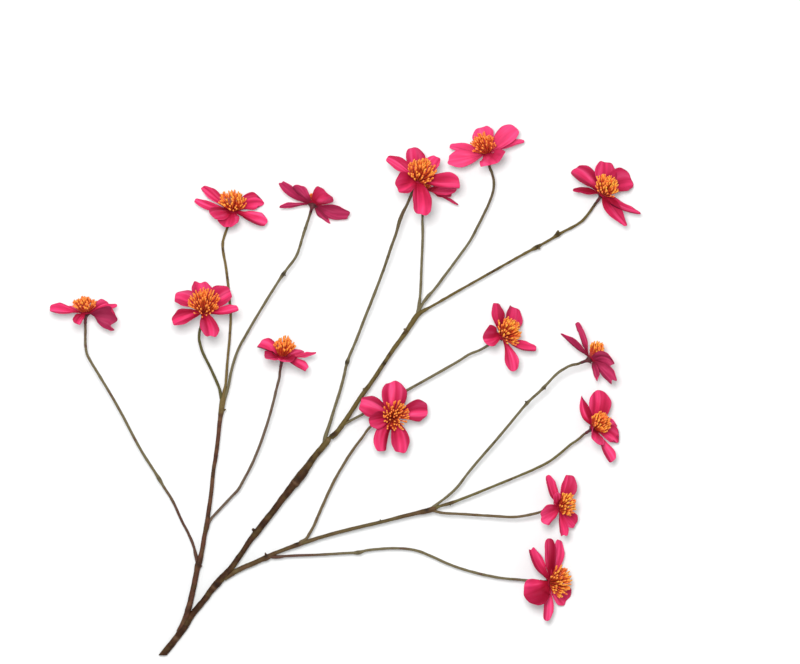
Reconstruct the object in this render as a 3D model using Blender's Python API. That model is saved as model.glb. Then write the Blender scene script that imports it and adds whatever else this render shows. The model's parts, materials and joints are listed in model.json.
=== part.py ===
"""A branching spray of artificial cosmos flowers, lying on a flat surface.

Fifteen flower heads stand on one branching stem.  Each head is a whorl of petals in one piece,
a tuft of stamens and a calyx with its sleeve; each stem is a coated wire with knots along it.
Metres, +Z up.  +X runs to the right of the spray, +Y from the cut end towards the top.
"""
import math

import bmesh
import bpy
from mathutils import Matrix, Vector

for old in list(bpy.data.objects):
    bpy.data.objects.remove(old, do_unlink=True)

MM = 0.001

# Driving dimensions, in millimetres.
GAP = 0.3                 # air left between pieces that touch
SHEET = 0.9               # thickness of a petal
ROWS, COLUMNS = 3, 3      # cells along and across a petal
ROOT_RADIUS = 3.0         # where the petals start, out from the flower's axis
HUB_RADIUS = 4.4          # the disc that carries the petals
HUB_DEPTH = 1.7
STALK_REACH = 9.9         # from the flower's centre back to the tip of its stalk
NECK = 2.5                # the straight end of a stalk
CALYX_PROFILE = ((4.2, -1.2), (4.0, -2.0), (2.1, -3.5), (1.7, -4.3), (1.6, -9.6))
TUFT_FOOT = (2.2, 1.15)    # radius and height where a tuft starts
TUFT_DOME = ((0.75, 0.28), (0.95, 0.44), (0.78, 0.74), (0.35, 0.95))   # shares of its size
ROUND_SIDES = 8           # sides of calyx, hub and stamens
STEM_SIDES = 6
ORIGIN = Vector((0.226, 1.03, 0.0))  # the middle of the outline, in the coordinates used below
CUT_Y = -228.3            # the sloping cut across the thick end, in the same coordinates
WELDS = (0.02, 0.01, 0.003, 0.0005)   # tried in turn, longest first

PETAL_RED = (0.80, 0.05, 0.17, 1.0)
STAMEN_ORANGE = (0.75, 0.22, 0.03, 1.0)
CALYX_MAROON = (0.06, 0.008, 0.01, 1.0)
BARK_BROWN = (0.10, 0.05, 0.02, 1.0)
STALK_OLIVE = (0.17, 0.12, 0.05, 1.0)


def petal(x, y, z, wide, face=None, bend=0.0, arch=0.0, cup=16.0, notch=0.0, tip_wide=0.82,
          belly=0.72, blunt=0.13, slim=1.0):
    """One petal: where its tip is from the flower's centre, how wide it is and how it turns.

    face: angle between the petal's inner side and straight up, left out where it lies flat on
    the whorl; bend: middle off the straight line to the left; arch: middle raised; cup: half
    the angle its width is rolled through; belly: where along it the petal is widest.
    """
    return dict(tip=Vector((x, y, z)), wide=wide, face=face, bend=bend, arch=arch, cup=cup,
                notch=notch, tip_wide=tip_wide, belly=belly, blunt=blunt, slim=slim)


# Heads: centre, axis heading and rise (degrees), stalk heading, lift off the surface, height and
# radius of the tuft, petals.
HEADS = {
    1: dict(at=(-223.5, 67.5), heading=90, rise=12, stalk=90, tuft=(12.5, 12), petals=(
        petal(-30, 5, 2, 15, 38, belly=0.88, slim=3), petal(-18, 7, -20, 14),
        petal(-5.4, -10, 16, 8.5, arch=4, bend=-0.6, cup=30, slim=0.6), petal(21, 6.5, -10, 15, 30),
        petal(26.9, 7.3, -4, 8, 40), petal(27, -8.4, 6, 19, 140, belly=0.85, slim=1.4))),
    2: dict(at=(-97.5, 156), heading=80, rise=35, stalk=71, tuft=(17, 14), petals=(
        petal(-26.3, 21.3, -4, 10, 42, bend=0.5, belly=0.8), petal(-32.5, 9.6, 2, 9, 32, bend=2),
        petal(-17.5, -4, 16, 17, 30), petal(-3.2, -14, 20, 19, 25, notch=0.1),
        petal(28.7, -11, 8, 17, 20, belly=0.88, slim=1.6),
        petal(26.8, 6.8, -6, 16.5, 32, bend=3.5, tip_wide=0.5))),
    3: dict(at=(-28, 161.3), heading=73, rise=-30, stalk=75, tuft=(10, 7), petals=(
        petal(-27.5, 19, 4, 10, 150, bend=2), petal(-15.5, 16.3, 10, 12, 150),
        petal(-29, -1.7, -2, 6, 135),
        petal(14, 9.5, 14, 20, 158, cup=20, belly=0.7, blunt=0.14, slim=0.7),
        petal(31, -8.6, -4, 13, 145, bend=-2.4),
        petal(14.6, -15.5, -14, 9, 130, bend=-1.3, tip_wide=0.3))),
    4: dict(at=(-121, 69), heading=85, rise=50, stalk=77, lift=17, tuft=(17, 16), petals=(
        petal(-3.4, 26.5, -12, 19.5, 25, notch=0.05), petal(-25.4, 13, -6, 20, 30, bend=-3),
        petal(-26.2, -9.4, 6, 14, 34), petal(6.7, -21.5, 14, 18, 20, bend=1, notch=0.04),
        petal(29.2, 3.4, 5, 12, 37, bend=-1.8), petal(22.4, 18, -8, 18, 20, bend=1.3))),
    5: dict(at=(-54, 29.7), heading=82, rise=10, stalk=80, tuft=(17.5, 11.6), petals=(
        petal(-21, 11.6, -3, 18, 30, bend=-2), petal(-11, 0, 18, 18, slim=0.7),
        petal(5.6, -2.6, 20, 16, slim=0.7), petal(21.3, -9.8, 8, 13.5, 40),
        petal(28.4, 4.7, -2, 8, 68, bend=-1.5), petal(17.2, 6, -16, 11, 50),
        petal(-9, 3, -22, 14))),
    6: dict(at=(62.4, 181), heading=68, rise=45, stalk=64, lift=20, tuft=(17.5, 13.3), petals=(
        petal(-26.7, 19.5, -2, 12, 38, bend=-1, slim=1.3), petal(-3.6, 29.2, -14, 18, 25),
        petal(16.6, 20.6, -8, 13.5, 20),
        petal(35.4, -2.4, 2, 18, 30, bend=-0.4, blunt=0.08, tip_wide=0.9),
        petal(3, -29.8, 14, 17, 20, bend=0.8, notch=0.04, slim=0.8, blunt=0.05, belly=0.65, tip_wide=0.95),
        petal(-18.2, -6, 10, 19, 15, notch=0.1))),
    7: dict(at=(121.7, 204.3), heading=105, rise=18, stalk=103, tuft=(19.5, 14.5), petals=(
        petal(-4.5, 25, -16, 19.5), petal(25.5, 22.8, -2, 17, 28, bend=1, tip_wide=0.95),
        petal(31.8, 12.5, -8, 11.5, 36, bend=1.2),
        petal(5.3, -7.6, 20, 24, bend=0.4, notch=0.1, blunt=0, tip_wide=1, belly=0.9),
        petal(-32, 8, -6, 10, 44), petal(-33.5, -5.8, 5, 14.5, 30, bend=0.5, slim=1.3))),
    8: dict(at=(221.5, 170), heading=52, rise=38, stalk=54, tuft=(16.5, 13), petals=(
        petal(-24.7, 21.7, -2, 23, 23, bend=-2), petal(4.2, 29, -12, 19.5, 20),
        petal(26.9, 12.6, -10, 23, 30, bend=3), petal(-25.4, 4, 6, 6.5, 58, bend=0.7),
        petal(32.7, -15.8, 2, 13, 40, bend=-2.6, slim=0.5, belly=0.3, tip_wide=0.4),
        petal(19.8, -27, 10, 13.5, 30, bend=-1.6, tip_wide=0.35, belly=0.25, slim=0.5, blunt=0.05))),
    9: dict(at=(134.6, 47.7), heading=32, rise=38, stalk=34, tuft=(17, 14), petals=(
        petal(-4.8, 28.6, -2, 10, 34, bend=1), petal(12, 25.4, -12, 20, 30, bend=-2),
        petal(-15.3, -1.5, 12, 17, 25, notch=0.04),
        petal(9.9, -30, 6, 12, 20, bend=1.5, belly=0.8, slim=2, tip_wide=0.92),
        petal(29.7, -9.7, -4, 12, 30, bend=-2.5, slim=1.2), petal(13, 11, -20, 14))),
    10: dict(at=(211, 28), heading=45, rise=-12, stalk=20, tuft=(15, 9.5), petals=(
        petal(-25.4, 22.4, 0, 11, 137, tip_wide=0.4, belly=0.55, slim=0.6),
        petal(-11.2, 31.4, -6, 9.5, 135, belly=0.8, tip_wide=0.95),
        petal(18, -5, 10, 20, 145, bend=3.5, arch=1, slim=0.6),
        petal(20.4, -20, 4, 14, 150, bend=0.8, notch=0.1, slim=0.7, belly=0.8),
        petal(6, -19, -4, 9, 130, tip_wide=0.15, belly=0.45, slim=0.6), petal(10, 8, -22, 14))),
    11: dict(at=(213.7, -31.4), heading=33, rise=35, stalk=35, tuft=(15.5, 10.8), petals=(
        petal(4.6, 32.2, -4, 19.5, 25, bend=-2),
        petal(-10.3, 27.5, 4, 8.5, 25, bend=2.3, tip_wide=0.05, belly=0.45, blunt=0.02),
        petal(0.4, -10.3, 18, 18.5, bend=2.2),
        petal(16.4, -28, 6, 12.5, 25, belly=0.85, slim=2, tip_wide=0.95, blunt=0.08),
        petal(19.9, 5.2, -16, 15, 25), petal(21.9, -13, -8, 15, 30, bend=3, tip_wide=0.25))),
    12: dict(at=(183.6, -99.3), heading=10, rise=28, stalk=14, tuft=(15.5, 12.3), petals=(
        petal(-9.2, 27.5, 4, 12, 35, bend=1, slim=0.6), petal(10, 27.5, -6, 12.5, 34, bend=-1.7),
        petal(-16, -8.2, 14, 19.5, 25, notch=0.08),
        petal(4.7, -24.6, 6, 11.5, 30, notch=0.06, tip_wide=0.95, slim=1.8),
        petal(15.2, -16.6, -12, 13, 30), petal(10, 2, -22, 14),
        petal(-3.5, 12, 15, 10, 40))),
    13: dict(at=(176, -164.7), heading=0, rise=28, stalk=-6, tuft=(18.5, 15.3), petals=(
        petal(-15.5, 30.5, 4, 15, 32, bend=2.2, notch=0.05, tip_wide=0.75),
        petal(0.4, 37.8, 0, 11.5, 38, cup=35, belly=0.92, tip_wide=0.95, slim=0.8),
        petal(8.8, 36.5, -10, 11.5, 28, bend=-2),
        petal(-20.8, -8.8, 14, 24, 20, bend=1.2, belly=0.85, blunt=0.02, tip_wide=0.9),
        petal(-2.6, -32.2, 6, 11, 24, belly=0.85, tip_wide=0.95), petal(15.8, -18, -12, 17, 35))),
    14: dict(at=(41, -22), heading=40, rise=78, stalk=40, lift=21, tuft=(15.5, 14.3), petals=(
        petal(1.3, 30, -1, 23, notch=-0.04, blunt=0.08, slim=0.7),
        petal(30, 6, -3, 18.5, bend=1.5, belly=0.8, slim=1.5), petal(7.2, -30.5, 1, 17.5, bend=1.5),
        petal(-9.5, -29.2, 2, 14.5, bend=-3.7, cup=30, slim=0.6), petal(-19.8, -3.5, 10, 15),
        petal(-28.4, 12.5, 1, 20, bend=-1, slim=1.2))),
    15: dict(at=(68.4, 173.3), heading=88, rise=10, stalk=85, tuft=(7.5, 5.5), petals=(
        petal(23.2, -2.6, -2, 16, 35, belly=0.55, slim=0.5), petal(29.2, -11.6, -6, 5, 60),
        petal(27, 1.5, 4, 13, 30, slim=0.5), petal(-15, 5, -2, 12), petal(-2, 20, -10, 12),
        petal(3, 4, -14, 12))),
}


def axis_of(heading, rise):
    h, r = math.radians(heading), math.radians(rise)
    return Vector((math.cos(r) * math.cos(h), math.cos(r) * math.sin(h), math.sin(r)))


def across(vector, along):
    """The part of a vector square to a direction, as a unit vector."""
    return (vector - along * vector.dot(along)).normalized()


def petal_skeleton(axis, shape, grow=0.0):
    """Points and outward directions of a petal's middle surface, row by row from the root."""
    tip = shape["tip"]
    root = across(tip, axis) * ROOT_RADIUS
    chord = (tip - root).normalized()
    tip = tip + chord * grow
    left = Vector((-chord.y, chord.x, 0.0)).normalized()
    control = (root + tip) / 2 + left * 2 * shape["bend"] + Vector((0, 0, 2 * shape["arch"]))
    flat = across(axis, chord)
    roll = 0.0
    if shape["face"] is not None:
        up = across(Vector((0, 0, 1)), chord)
        lean = chord.cross(up)
        if lean.dot(axis) < 0:
            lean = -lean
        face = math.radians(shape["face"])
        wanted = up * math.cos(face) + lean * math.sin(face)
        roll = math.atan2(flat.cross(wanted).dot(chord), flat.dot(wanted))
    cup = math.radians(shape["cup"])
    points, normals = [], []
    for row in range(ROWS + 1):
        for column in range(COLUMNS + 1):
            along = row / ROWS
            side = 2 * column / COLUMNS - 1
            tip_cut = shape["blunt"] * abs(side) ** 2.5 + shape["notch"] * math.exp(-(side / 0.3) ** 2)
            at = along * (1 - along * along * tip_cut)
            middle = root * (1 - at) ** 2 + control * 2 * at * (1 - at) + tip * at * at
            run = ((control - root) * (1 - at) + (tip - control) * at).normalized()
            level = across(flat, run)
            turn = roll * min(1.0, at / 0.35)
            out = level * math.cos(turn) + run.cross(level) * math.sin(turn)
            sideways = run.cross(out)
            if along < shape["belly"]:
                swell = math.sin(math.pi / 2 * along / shape["belly"]) ** shape["slim"]
                width = 0.28 + 0.72 * swell
            else:
                past = (along - shape["belly"]) / (1 - shape["belly"])
                width = 1 - (1 - shape["tip_wide"]) * past * past
            half = 0.5 * shape["wide"] * width + grow
            points.append(middle + sideways * (half * math.sin(cup * side) / cup)
                          + out * (half * ((1 - math.cos(cup * side)) / cup - cup / 6)))
            normals.append((out * math.cos(cup * side) - sideways * math.sin(cup * side)).normalized())
    return points, normals


def new_object(name, build):
    mesh = bpy.data.meshes.new(name)
    build.to_mesh(mesh)
    build.free()
    item = bpy.data.objects.new(name, mesh)
    bpy.context.scene.collection.objects.link(item)
    return item


def petal_object(axis, centre, shape, grow=0.0):
    """A petal as a closed sheet of even thickness."""
    points, normals = petal_skeleton(axis, shape, grow)
    half = SHEET / 2 + grow
    build = bmesh.new()
    sides = [[build.verts.new((centre + p + n * half * way) * MM) for p, n in zip(points, normals)]
             for way in (1, -1)]
    wide = COLUMNS + 1
    for way, layer in zip((1, -1), sides):
        for row in range(ROWS):
            for column in range(COLUMNS):
                first = row * wide + column
                ring = [layer[first], layer[first + 1], layer[first + wide + 1], layer[first + wide]]
                build.faces.new(ring[::way])
    rim = (list(range(COLUMNS)) + [row * wide + COLUMNS for row in range(ROWS)]
           + [ROWS * wide + column for column in range(COLUMNS, 0, -1)]
           + [row * wide for row in range(ROWS, 0, -1)])
    top, under = sides
    for here, after in zip(rim, rim[1:] + rim[:1]):
        build.faces.new([top[here], under[here], under[after], top[after]])
    bmesh.ops.triangulate(build, faces=build.faces)
    bmesh.ops.recalc_face_normals(build, faces=build.faces)
    return new_object("petal", build)


def turned(name, axis, centre, profile, sides):
    """A round body from radii and distances along an axis, closed at both ends."""
    turn = axis.to_track_quat('Z', 'Y').to_matrix()
    build = bmesh.new()
    rings = []
    for radius, height in profile:
        rings.append([build.verts.new((centre + turn @ Vector((
            radius * math.cos(2 * math.pi * k / sides),
            radius * math.sin(2 * math.pi * k / sides), height))) * MM)
            for k in range(sides)])
    for low, high in zip(rings, rings[1:]):
        for k in range(sides):
            after = (k + 1) % sides
            build.faces.new([low[k], low[after], high[after], high[k]])
    build.faces.new(rings[0])
    build.faces.new(rings[-1])
    bmesh.ops.triangulate(build, faces=build.faces)
    bmesh.ops.recalc_face_normals(build, faces=build.faces)
    return new_object(name, build)


def combine(body, tool, operation):
    """Boolean of a body with a tool, which is used up."""
    step = body.modifiers.new("step", 'BOOLEAN')
    step.operation = operation
    step.solver = 'EXACT'
    step.object = tool
    graph = bpy.context.evaluated_depsgraph_get()
    shaped = bpy.data.meshes.new_from_object(body.evaluated_get(graph))
    body.modifiers.clear()
    before = body.data
    body.data = shaped
    bpy.data.meshes.remove(before)
    bpy.data.objects.remove(tool, do_unlink=True)


def closed(build):
    return all(len(edge.link_faces) == 2 for edge in build.edges)


def connected(start):
    """All the points that edges join to one point."""
    part, front = {start}, [start]
    while front:
        vert = front.pop()
        for edge in vert.link_edges:
            other = edge.other_vert(vert)
            if other not in part:
                part.add(other)
                front.append(other)
    return part


def tidy(body):
    """Keep the largest closed part, triangulate, and weld hair-thin edges if it stays closed."""
    for weld in WELDS:
        build = bmesh.new()
        build.from_mesh(body.data)
        bmesh.ops.remove_doubles(build, verts=build.verts, dist=weld * MM)
        left, parts = set(build.verts), []
        while left:
            parts.append(connected(next(iter(left))))
            left -= parts[-1]
        largest = max(parts, key=len)
        bmesh.ops.delete(build, geom=[v for v in build.verts if v not in largest], context='VERTS')
        bmesh.ops.triangulate(build, faces=build.faces)
        bmesh.ops.recalc_face_normals(build, faces=build.faces)
        if closed(build):
            build.to_mesh(body.data)
            build.free()
            return
        build.free()


def paint(body, colour, roughness):
    material = bpy.data.materials.new(body.name)
    material.use_nodes = True
    shader = material.node_tree.nodes["Principled BSDF"]
    shader.inputs["Base Color"].default_value = colour
    shader.inputs["Roughness"].default_value = roughness
    shader.inputs["Metallic"].default_value = 0.0
    material.diffuse_color = colour
    body.data.materials.clear()
    body.data.materials.append(material)


def hub_profile(grow=0.0):
    return ((HUB_RADIUS + grow, -HUB_DEPTH / 2 - grow), (HUB_RADIUS + grow, HUB_DEPTH / 2 + grow))


def tuft_profile(tall, wide):
    """Radii and heights of a domed tuft, from its own height and radius."""
    return (TUFT_FOOT, *((wide * out, tall * up) for out, up in TUFT_DOME))


# Each head rests on its lowest petal, or is lifted clear of the stems that pass below it.
for head in HEADS.values():
    axis = axis_of(head["heading"], head["rise"])
    lowest = 0.0
    for shape in head["petals"]:
        points, normals = petal_skeleton(axis, shape)
        lowest = min(lowest, min(min((p + n * SHEET / 2).z, (p - n * SHEET / 2).z)
                                 for p, n in zip(points, normals)))
    head["axis"] = axis
    head["centre"] = Vector((*head["at"], head.get("lift", 0.0) - lowest)) - ORIGIN
    head["stalk_axis"] = axis_of(head["stalk"], head["rise"])

for number, head in HEADS.items():
    axis, centre = head["axis"], head["centre"]
    whorl = turned(f"petals_{number:02d}", axis, centre, hub_profile(), ROUND_SIDES)
    tuft = turned(f"stamens_{number:02d}", axis, centre, tuft_profile(*head["tuft"]), ROUND_SIDES)
    calyx = turned(f"calyx_{number:02d}", head["stalk_axis"], centre, CALYX_PROFILE, ROUND_SIDES)
    combine(calyx, turned("clear", axis, centre, hub_profile(GAP), ROUND_SIDES), 'DIFFERENCE')
    for shape in head["petals"]:
        combine(whorl, petal_object(axis, centre, shape), 'UNION')
        combine(tuft, petal_object(axis, centre, shape, GAP), 'DIFFERENCE')
        combine(calyx, petal_object(axis, centre, shape, GAP), 'DIFFERENCE')
    for body, colour in ((whorl, PETAL_RED), (tuft, STAMEN_ORANGE), (calyx, CALYX_MAROON)):
        tidy(body)
        paint(body, colour, 0.6)


# Stems: x, y and radius along each, from the thick end to just short of the head it carries;
# z runs smoothly from the parent's height to the head's, and rises by "rise" half way between.
STEMS = {
    "main_stem": dict(parent=None, head=8, start_z=2.75, rise=7.0, route=(
        (-158, -228, 3), (-146.3, -213.2, 2.9), (-140.2, -204.8, 3.1), (-133, -193.5, 2.7),
        (-121.9, -180, 2.65), (-116.9, -173, 2.75), (-113.9, -169.5, 3), (-110.9, -166, 3.15),
        (-107.9, -162.5, 3.1), (-101.9, -156.6, 2.95), (-97.2, -150.3, 2.5), (-86.8, -135.4, 2.3),
        (-82.2, -128.5, 2.4), (-76.9, -122, 2.9), (-70.5, -113.6, 2.9), (-62.4, -103.5, 2.75),
        (-54.8, -93.1, 2.9), (-46.6, -82.8, 3.25), (-43.5, -78.9, 3.8), (-37.7, -71.7, 3.85),
        (-32.4, -64.4, 3.1), (-27.5, -57.3, 2.6), (-17.2, -44.8, 2.75), (-15, -41.8, 2.7),
        (-13.3, -40, 1.6), (-12, -39.2, 2.5), (-8, -35.7, 2.3), (-2.2, -28, 2), (5.2, -17, 1.9),
        (13.3, -4.5, 1.9), (16.9, 0.4, 2), (23, 8.9, 1.7), (33.2, 24.2, 1.75), (41.8, 37.2, 1.75),
        (52.4, 51.7, 2), (57.6, 59.6, 2.2), (63, 66.7, 2.3), (67.7, 69.8, 1.5), (72.5, 72.4, 1.07),
        (98.5, 87.3, 1.07), (133, 106.8, 1.07), (159, 121.3, 1.1), (164.5, 124.1, 1.9),
        (170, 127.2, 1.07), (179, 132.3, 1.1), (183, 135, 2), (187, 137.2, 1.1), (203.5, 146.5, 1.07),
        (207, 150, 1.07))),
    "left_branch": dict(parent="main_stem", head=2, rise=6.0, route=(
        (-144, -208.5, 2.7), (-139.2, -198.5, 2.7), (-136.4, -189.5, 2.6), (-134.1, -181, 2.5),
        (-132.1, -172.5, 2.45), (-128.7, -156, 2.35), (-127.7, -151, 2.9), (-126.2, -146, 2.7),
        (-124.6, -140, 2), (-121.6, -123.5, 2), (-120, -116.5, 2.35), (-118.7, -106, 1.85),
        (-116.2, -89, 1.7), (-114, -67.5, 1.65), (-112, -55.5, 1.8), (-109.9, -38.5, 1.75),
        (-108.5, -24.5, 1.9), (-107.3, -17, 2.4), (-106.3, -9, 2.6), (-105, -1.5, 1.6),
        (-103.6, 6.5, 1.1), (-102.2, 25.5, 1.1), (-100.3, 46, 1.1), (-99.4, 65, 1.1),
        (-100.4, 78.5, 1.1), (-102.4, 97.5, 1.1), (-104, 109.5, 1.1), (-106, 120, 1.1),
        (-106.5, 127.5, 1.1), (-105, 134.5, 1.1), (-103, 140, 1.1))),
    "right_branch": dict(parent="main_stem", head=11, rise=4.0, route=(
        (-105, -162, 2.1), (-100.2, -158.6, 2.3), (-95, -155.6, 2.25), (-89.2, -152.6, 2.2),
        (-81.7, -149.5, 2.15), (-73.3, -145.6, 2.1), (-68.3, -143.6, 2.6), (-63, -140.6, 1.85),
        (-56.2, -137.9, 1.65), (-47.2, -134.5, 1.75), (-42.2, -132.7, 2.1), (-36.3, -130.7, 1.8),
        (-21.7, -126, 1.6), (4.2, -118.9, 1.55), (29.7, -112.9, 1.5), (60, -105.2, 1.7),
        (68.5, -103.4, 2.3), (74.5, -101.7, 2.4), (81.5, -98.9, 1.15), (89, -96.8, 1.5),
        (98.5, -93.4, 1.1), (133, -79.6, 1.1), (150, -72.6, 1.07), (163, -67, 1.07), (176, -60.3, 1.07),
        (184.5, -54, 1.07), (193, -46.8, 1.07), (201.5, -40.8, 1.07))),
    "flower_stalk_01": dict(parent="left_branch", head=1, route=(
        (-127.7, -150, 1.5), (-129.5, -141.5, 1.5), (-131.2, -134.5, 1.14), (-136.5, -121.5, 1.14),
        (-140.5, -114, 1.14), (-150, -93.5, 1.14), (-157.5, -81.5, 1.14), (-160.8, -75.7, 1.7),
        (-164, -70.5, 1.14), (-176.5, -50.5, 1.14), (-194.5, -16, 1.14), (-211, 12.5, 1.14),
        (-219.7, 27, 1.14), (-222.3, 32.3, 1.14), (-223.3, 38.3, 1.14), (-223.6, 46, 1.14))),
    "flower_stalk_03": dict(parent="left_branch", head=3, route=(
        (-105.8, -11, 1.4), (-103.2, -2.2, 1.4), (-101, 5.5, 1.12), (-99, 16, 1.12), (-96, 27, 1.12),
        (-91.5, 38.5, 1.12), (-86.5, 47.5, 1.12), (-73.5, 69.5, 1.12), (-56.5, 96.5, 1.12),
        (-53.4, 101, 1.7), (-50.5, 105, 1.12), (-42.5, 116, 1.12), (-39.5, 123.5, 1.12),
        (-37, 132, 1.12), (-34.4, 140, 1.3), (-32.8, 145, 1.12))),
    "flower_stalk_04": dict(parent="left_branch", head=4, route=(
        (-106.6, -11, 1.4), (-108, -2.2, 1.4), (-109.2, 3, 1.19), (-112, 10, 1.19), (-115, 17, 1.19),
        (-119, 25.5, 1.19), (-122.5, 33, 1.19), (-125, 41, 1.19), (-125.8, 47, 1.19))),
    "flower_stalk_05": dict(parent="left_branch", head=5, route=(
        (-119.7, -117.5, 1.2), (-116.5, -110.5, 1.17), (-112, -105.5, 1.17), (-99.5, -92, 1.17),
        (-92.5, -84.5, 1.17), (-88.5, -77.5, 1.17), (-83, -67.5, 1.17), (-78.5, -58, 1.17),
        (-69, -33, 1.17), (-61.5, -7.5, 1.17), (-59, 3, 1.17), (-56.8, 11.5, 1.17))),
    "flower_stalk_06": dict(parent="main_stem", head=6, route=(
        (-18.2, -44, 1.8), (-17.2, -38.3, 1.7), (-14.5, -30.5, 1.4), (-9, -12.5, 1.22),
        (-4.8, 0.5, 1.22), (-1.2, 14, 1.22), (0.4, 21.5, 1.22), (1.4, 25, 1.8), (3, 29.5, 1.22),
        (9, 43.5, 1.22), (15, 59, 1.22), (26.5, 88, 1.22), (34, 108, 1.22), (38.5, 121.5, 1.22),
        (43.5, 135.5, 1.22), (47.5, 149, 1.6), (53, 160.5, 1.22))),
    "flower_stalk_15": dict(parent="main_stem", head=15, route=(
        (62, 66.5, 1.5), (63.5, 75.5, 1.4), (64.3, 83, 1.1), (65.5, 109, 1.1),
        (66.5, 137, 1.1), (66.3, 149, 1.1))),
    "flower_stalk_07": dict(parent="main_stem", head=7, beside="flower_stalk_15", route=(
        (62, 67.5, 1.4), (66, 74.8, 1.15), (70.5, 81.3, 1.5), (76, 87.3, 1.12), (85.5, 99.8, 1.12),
        (98.5, 117.3, 1.12), (107, 129.3, 1.12), (114, 142.3, 1.12), (119, 152.3, 1.12),
        (124.3, 163.8, 1.12), (127.3, 173.3, 1.12), (127.7, 180.8, 1.12), (126.3, 187.8, 1.12))),
    "flower_stalk_09": dict(parent="main_stem", head=9, route=(
        (-3, -29.5, 1.15), (3, -26, 1.15), (15, -19.7, 1.12), (42.5, -4.9, 1.12), (64, 7.1, 1.12),
        (98.5, 26.8, 1.12), (107, 32.1, 1.12), (115.5, 35.5, 1.12), (122, 39.2, 1.12))),
    "flower_stalk_13": dict(parent="right_branch", head=13, route=(
        (-67.5, -142.2, 1.6), (-60.5, -143.1, 1.6), (-52, -142.3, 1.1), (-22, -141.1, 1.1),
        (5.5, -139.5, 1.1), (11, -139.3, 1.7), (17.5, -137.5, 1.1), (29.5, -136.1, 1.1),
        (42.5, -135.6, 1.1), (55.5, -136.4, 1.1), (64, -138.4, 1.1), (72.5, -141.8, 1.1),
        (90, -149.6, 1.1), (101, -153.5, 1.1), (111.5, -156.5, 1.1), (124.5, -159.5, 1.1),
        (137, -161.6, 1.1), (150, -162.6, 1.1), (158.5, -163.4, 1.1))),
    "flower_stalk_14": dict(parent="right_branch", head=14, route=(
        (-39.5, -130.5, 1.5), (-34, -127.2, 1.2), (-31.3, -123, 1.2), (-27.4, -116, 1.2),
        (-22.9, -105.5, 1.2), (-9.2, -76, 1.2), (-3.9, -66.7, 1.2), (5.6, -51.5, 1.15),
        (14.2, -40, 1.1), (21.5, -30.5, 1.07), (28, -26.5, 1.07), (33.5, -25, 1.07))),
    "flower_stalk_10": dict(parent="right_branch", head=10, route=(
        (74, -101, 1.4), (81.5, -95.3, 1.15), (88, -90.3, 1.12), (96, -82.8, 1.12),
        (105.5, -70.3, 1.12), (133, -37.8, 1.12), (150, -17.1, 1.12), (154, -12.3, 1.12),
        (156.2, -9.8, 1.6), (159, -7, 1.12), (167.5, 0.7, 1.12), (170, 3.2, 1.6), (173, 6.4, 1.12),
        (182, 15.7, 1.12), (187, 19.1, 1.12), (194.5, 22.8, 1.12))),
    "flower_stalk_12": dict(parent="right_branch", head=12, route=(
        (73.5, -102, 1.4), (81.5, -104.4, 1.14), (98.5, -105.6, 1.11), (133, -107.7, 1.11),
        (143, -108.2, 1.11), (152, -107.4, 1.11), (160.5, -105.7, 1.11), (166, -104.4, 1.11))),
}


def ease(share):
    return share * share * (3 - 2 * share)


def stem_line(stem):
    """Centre points and radii of a stem, with the heights worked out along its length.

    The last NECK millimetres run straight into the calyx, along its axis.
    """
    head = HEADS[stem["head"]]
    end = head["centre"] - head["stalk_axis"] * STALK_REACH
    neck = end - head["stalk_axis"] * NECK
    flat = [Vector((x, y, 0)) - ORIGIN for x, y, radius in stem["route"]]
    flat.append(Vector((neck.x, neck.y, 0)))
    radii = [radius for x, y, radius in stem["route"]]
    if stem["parent"]:
        line = stem_line(STEMS[stem["parent"]])[0]
        start_z = min(line, key=lambda p: (Vector((p.x, p.y, 0)) - flat[0]).length).z
    else:
        start_z = stem["start_z"]
    run = [0.0]
    for here, after in zip(flat, flat[1:]):
        run.append(run[-1] + (after - here).length)
    points = [Vector((p.x, p.y, start_z + (neck.z - start_z) * ease(s / run[-1])
                      + stem.get("rise", 0.0) * math.sin(math.pi * s / run[-1])))
              for p, s in zip(flat, run)]
    return points + [end], radii + [radii[-1]] * 2


def tube(name, points, radii, grow=0.0):
    build = bmesh.new()
    rings = []
    for k, (point, radius) in enumerate(zip(points, radii)):
        before, after = points[max(k - 1, 0)], points[min(k + 1, len(points) - 1)]
        run = (after - before).normalized()
        side = across(Vector((0, 0, 1)).cross(run), run)
        up = run.cross(side)
        rings.append([build.verts.new((point + (side * math.cos(2 * math.pi * m / STEM_SIDES)
                                                + up * math.sin(2 * math.pi * m / STEM_SIDES))
                                       * (radius + grow)) * MM) for m in range(STEM_SIDES)])
    for low, high in zip(rings, rings[1:]):
        for m in range(STEM_SIDES):
            after = (m + 1) % STEM_SIDES
            build.faces.new([low[m], low[after], high[after], high[m]])
    if name == "main_stem":
        run = (points[1] - points[0]).normalized()
        for vert in rings[0]:
            vert.co += run * (((CUT_Y - ORIGIN.y) * MM - vert.co.y) / run.y)
    build.faces.new(rings[0])
    build.faces.new(rings[-1])
    bmesh.ops.triangulate(build, faces=build.faces)
    bmesh.ops.recalc_face_normals(build, faces=build.faces)
    return new_object(name, build)


for name, stem in STEMS.items():
    points, radii = stem_line(stem)
    body = tube(name, points, radii)
    # A stalk starts inside its parent and is cut back to a saddle against it.
    for other in (stem["parent"], stem.get("beside")):
        if other:
            line, other_radii = stem_line(STEMS[other])
            combine(body, tube("clear", line, other_radii, GAP), 'DIFFERENCE')
    tidy(body)
    paint(body, BARK_BROWN if "stalk" not in name else STALK_OLIVE, 0.55)
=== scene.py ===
import json
import math
import random

import bpy
from mathutils import Matrix, Vector

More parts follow.
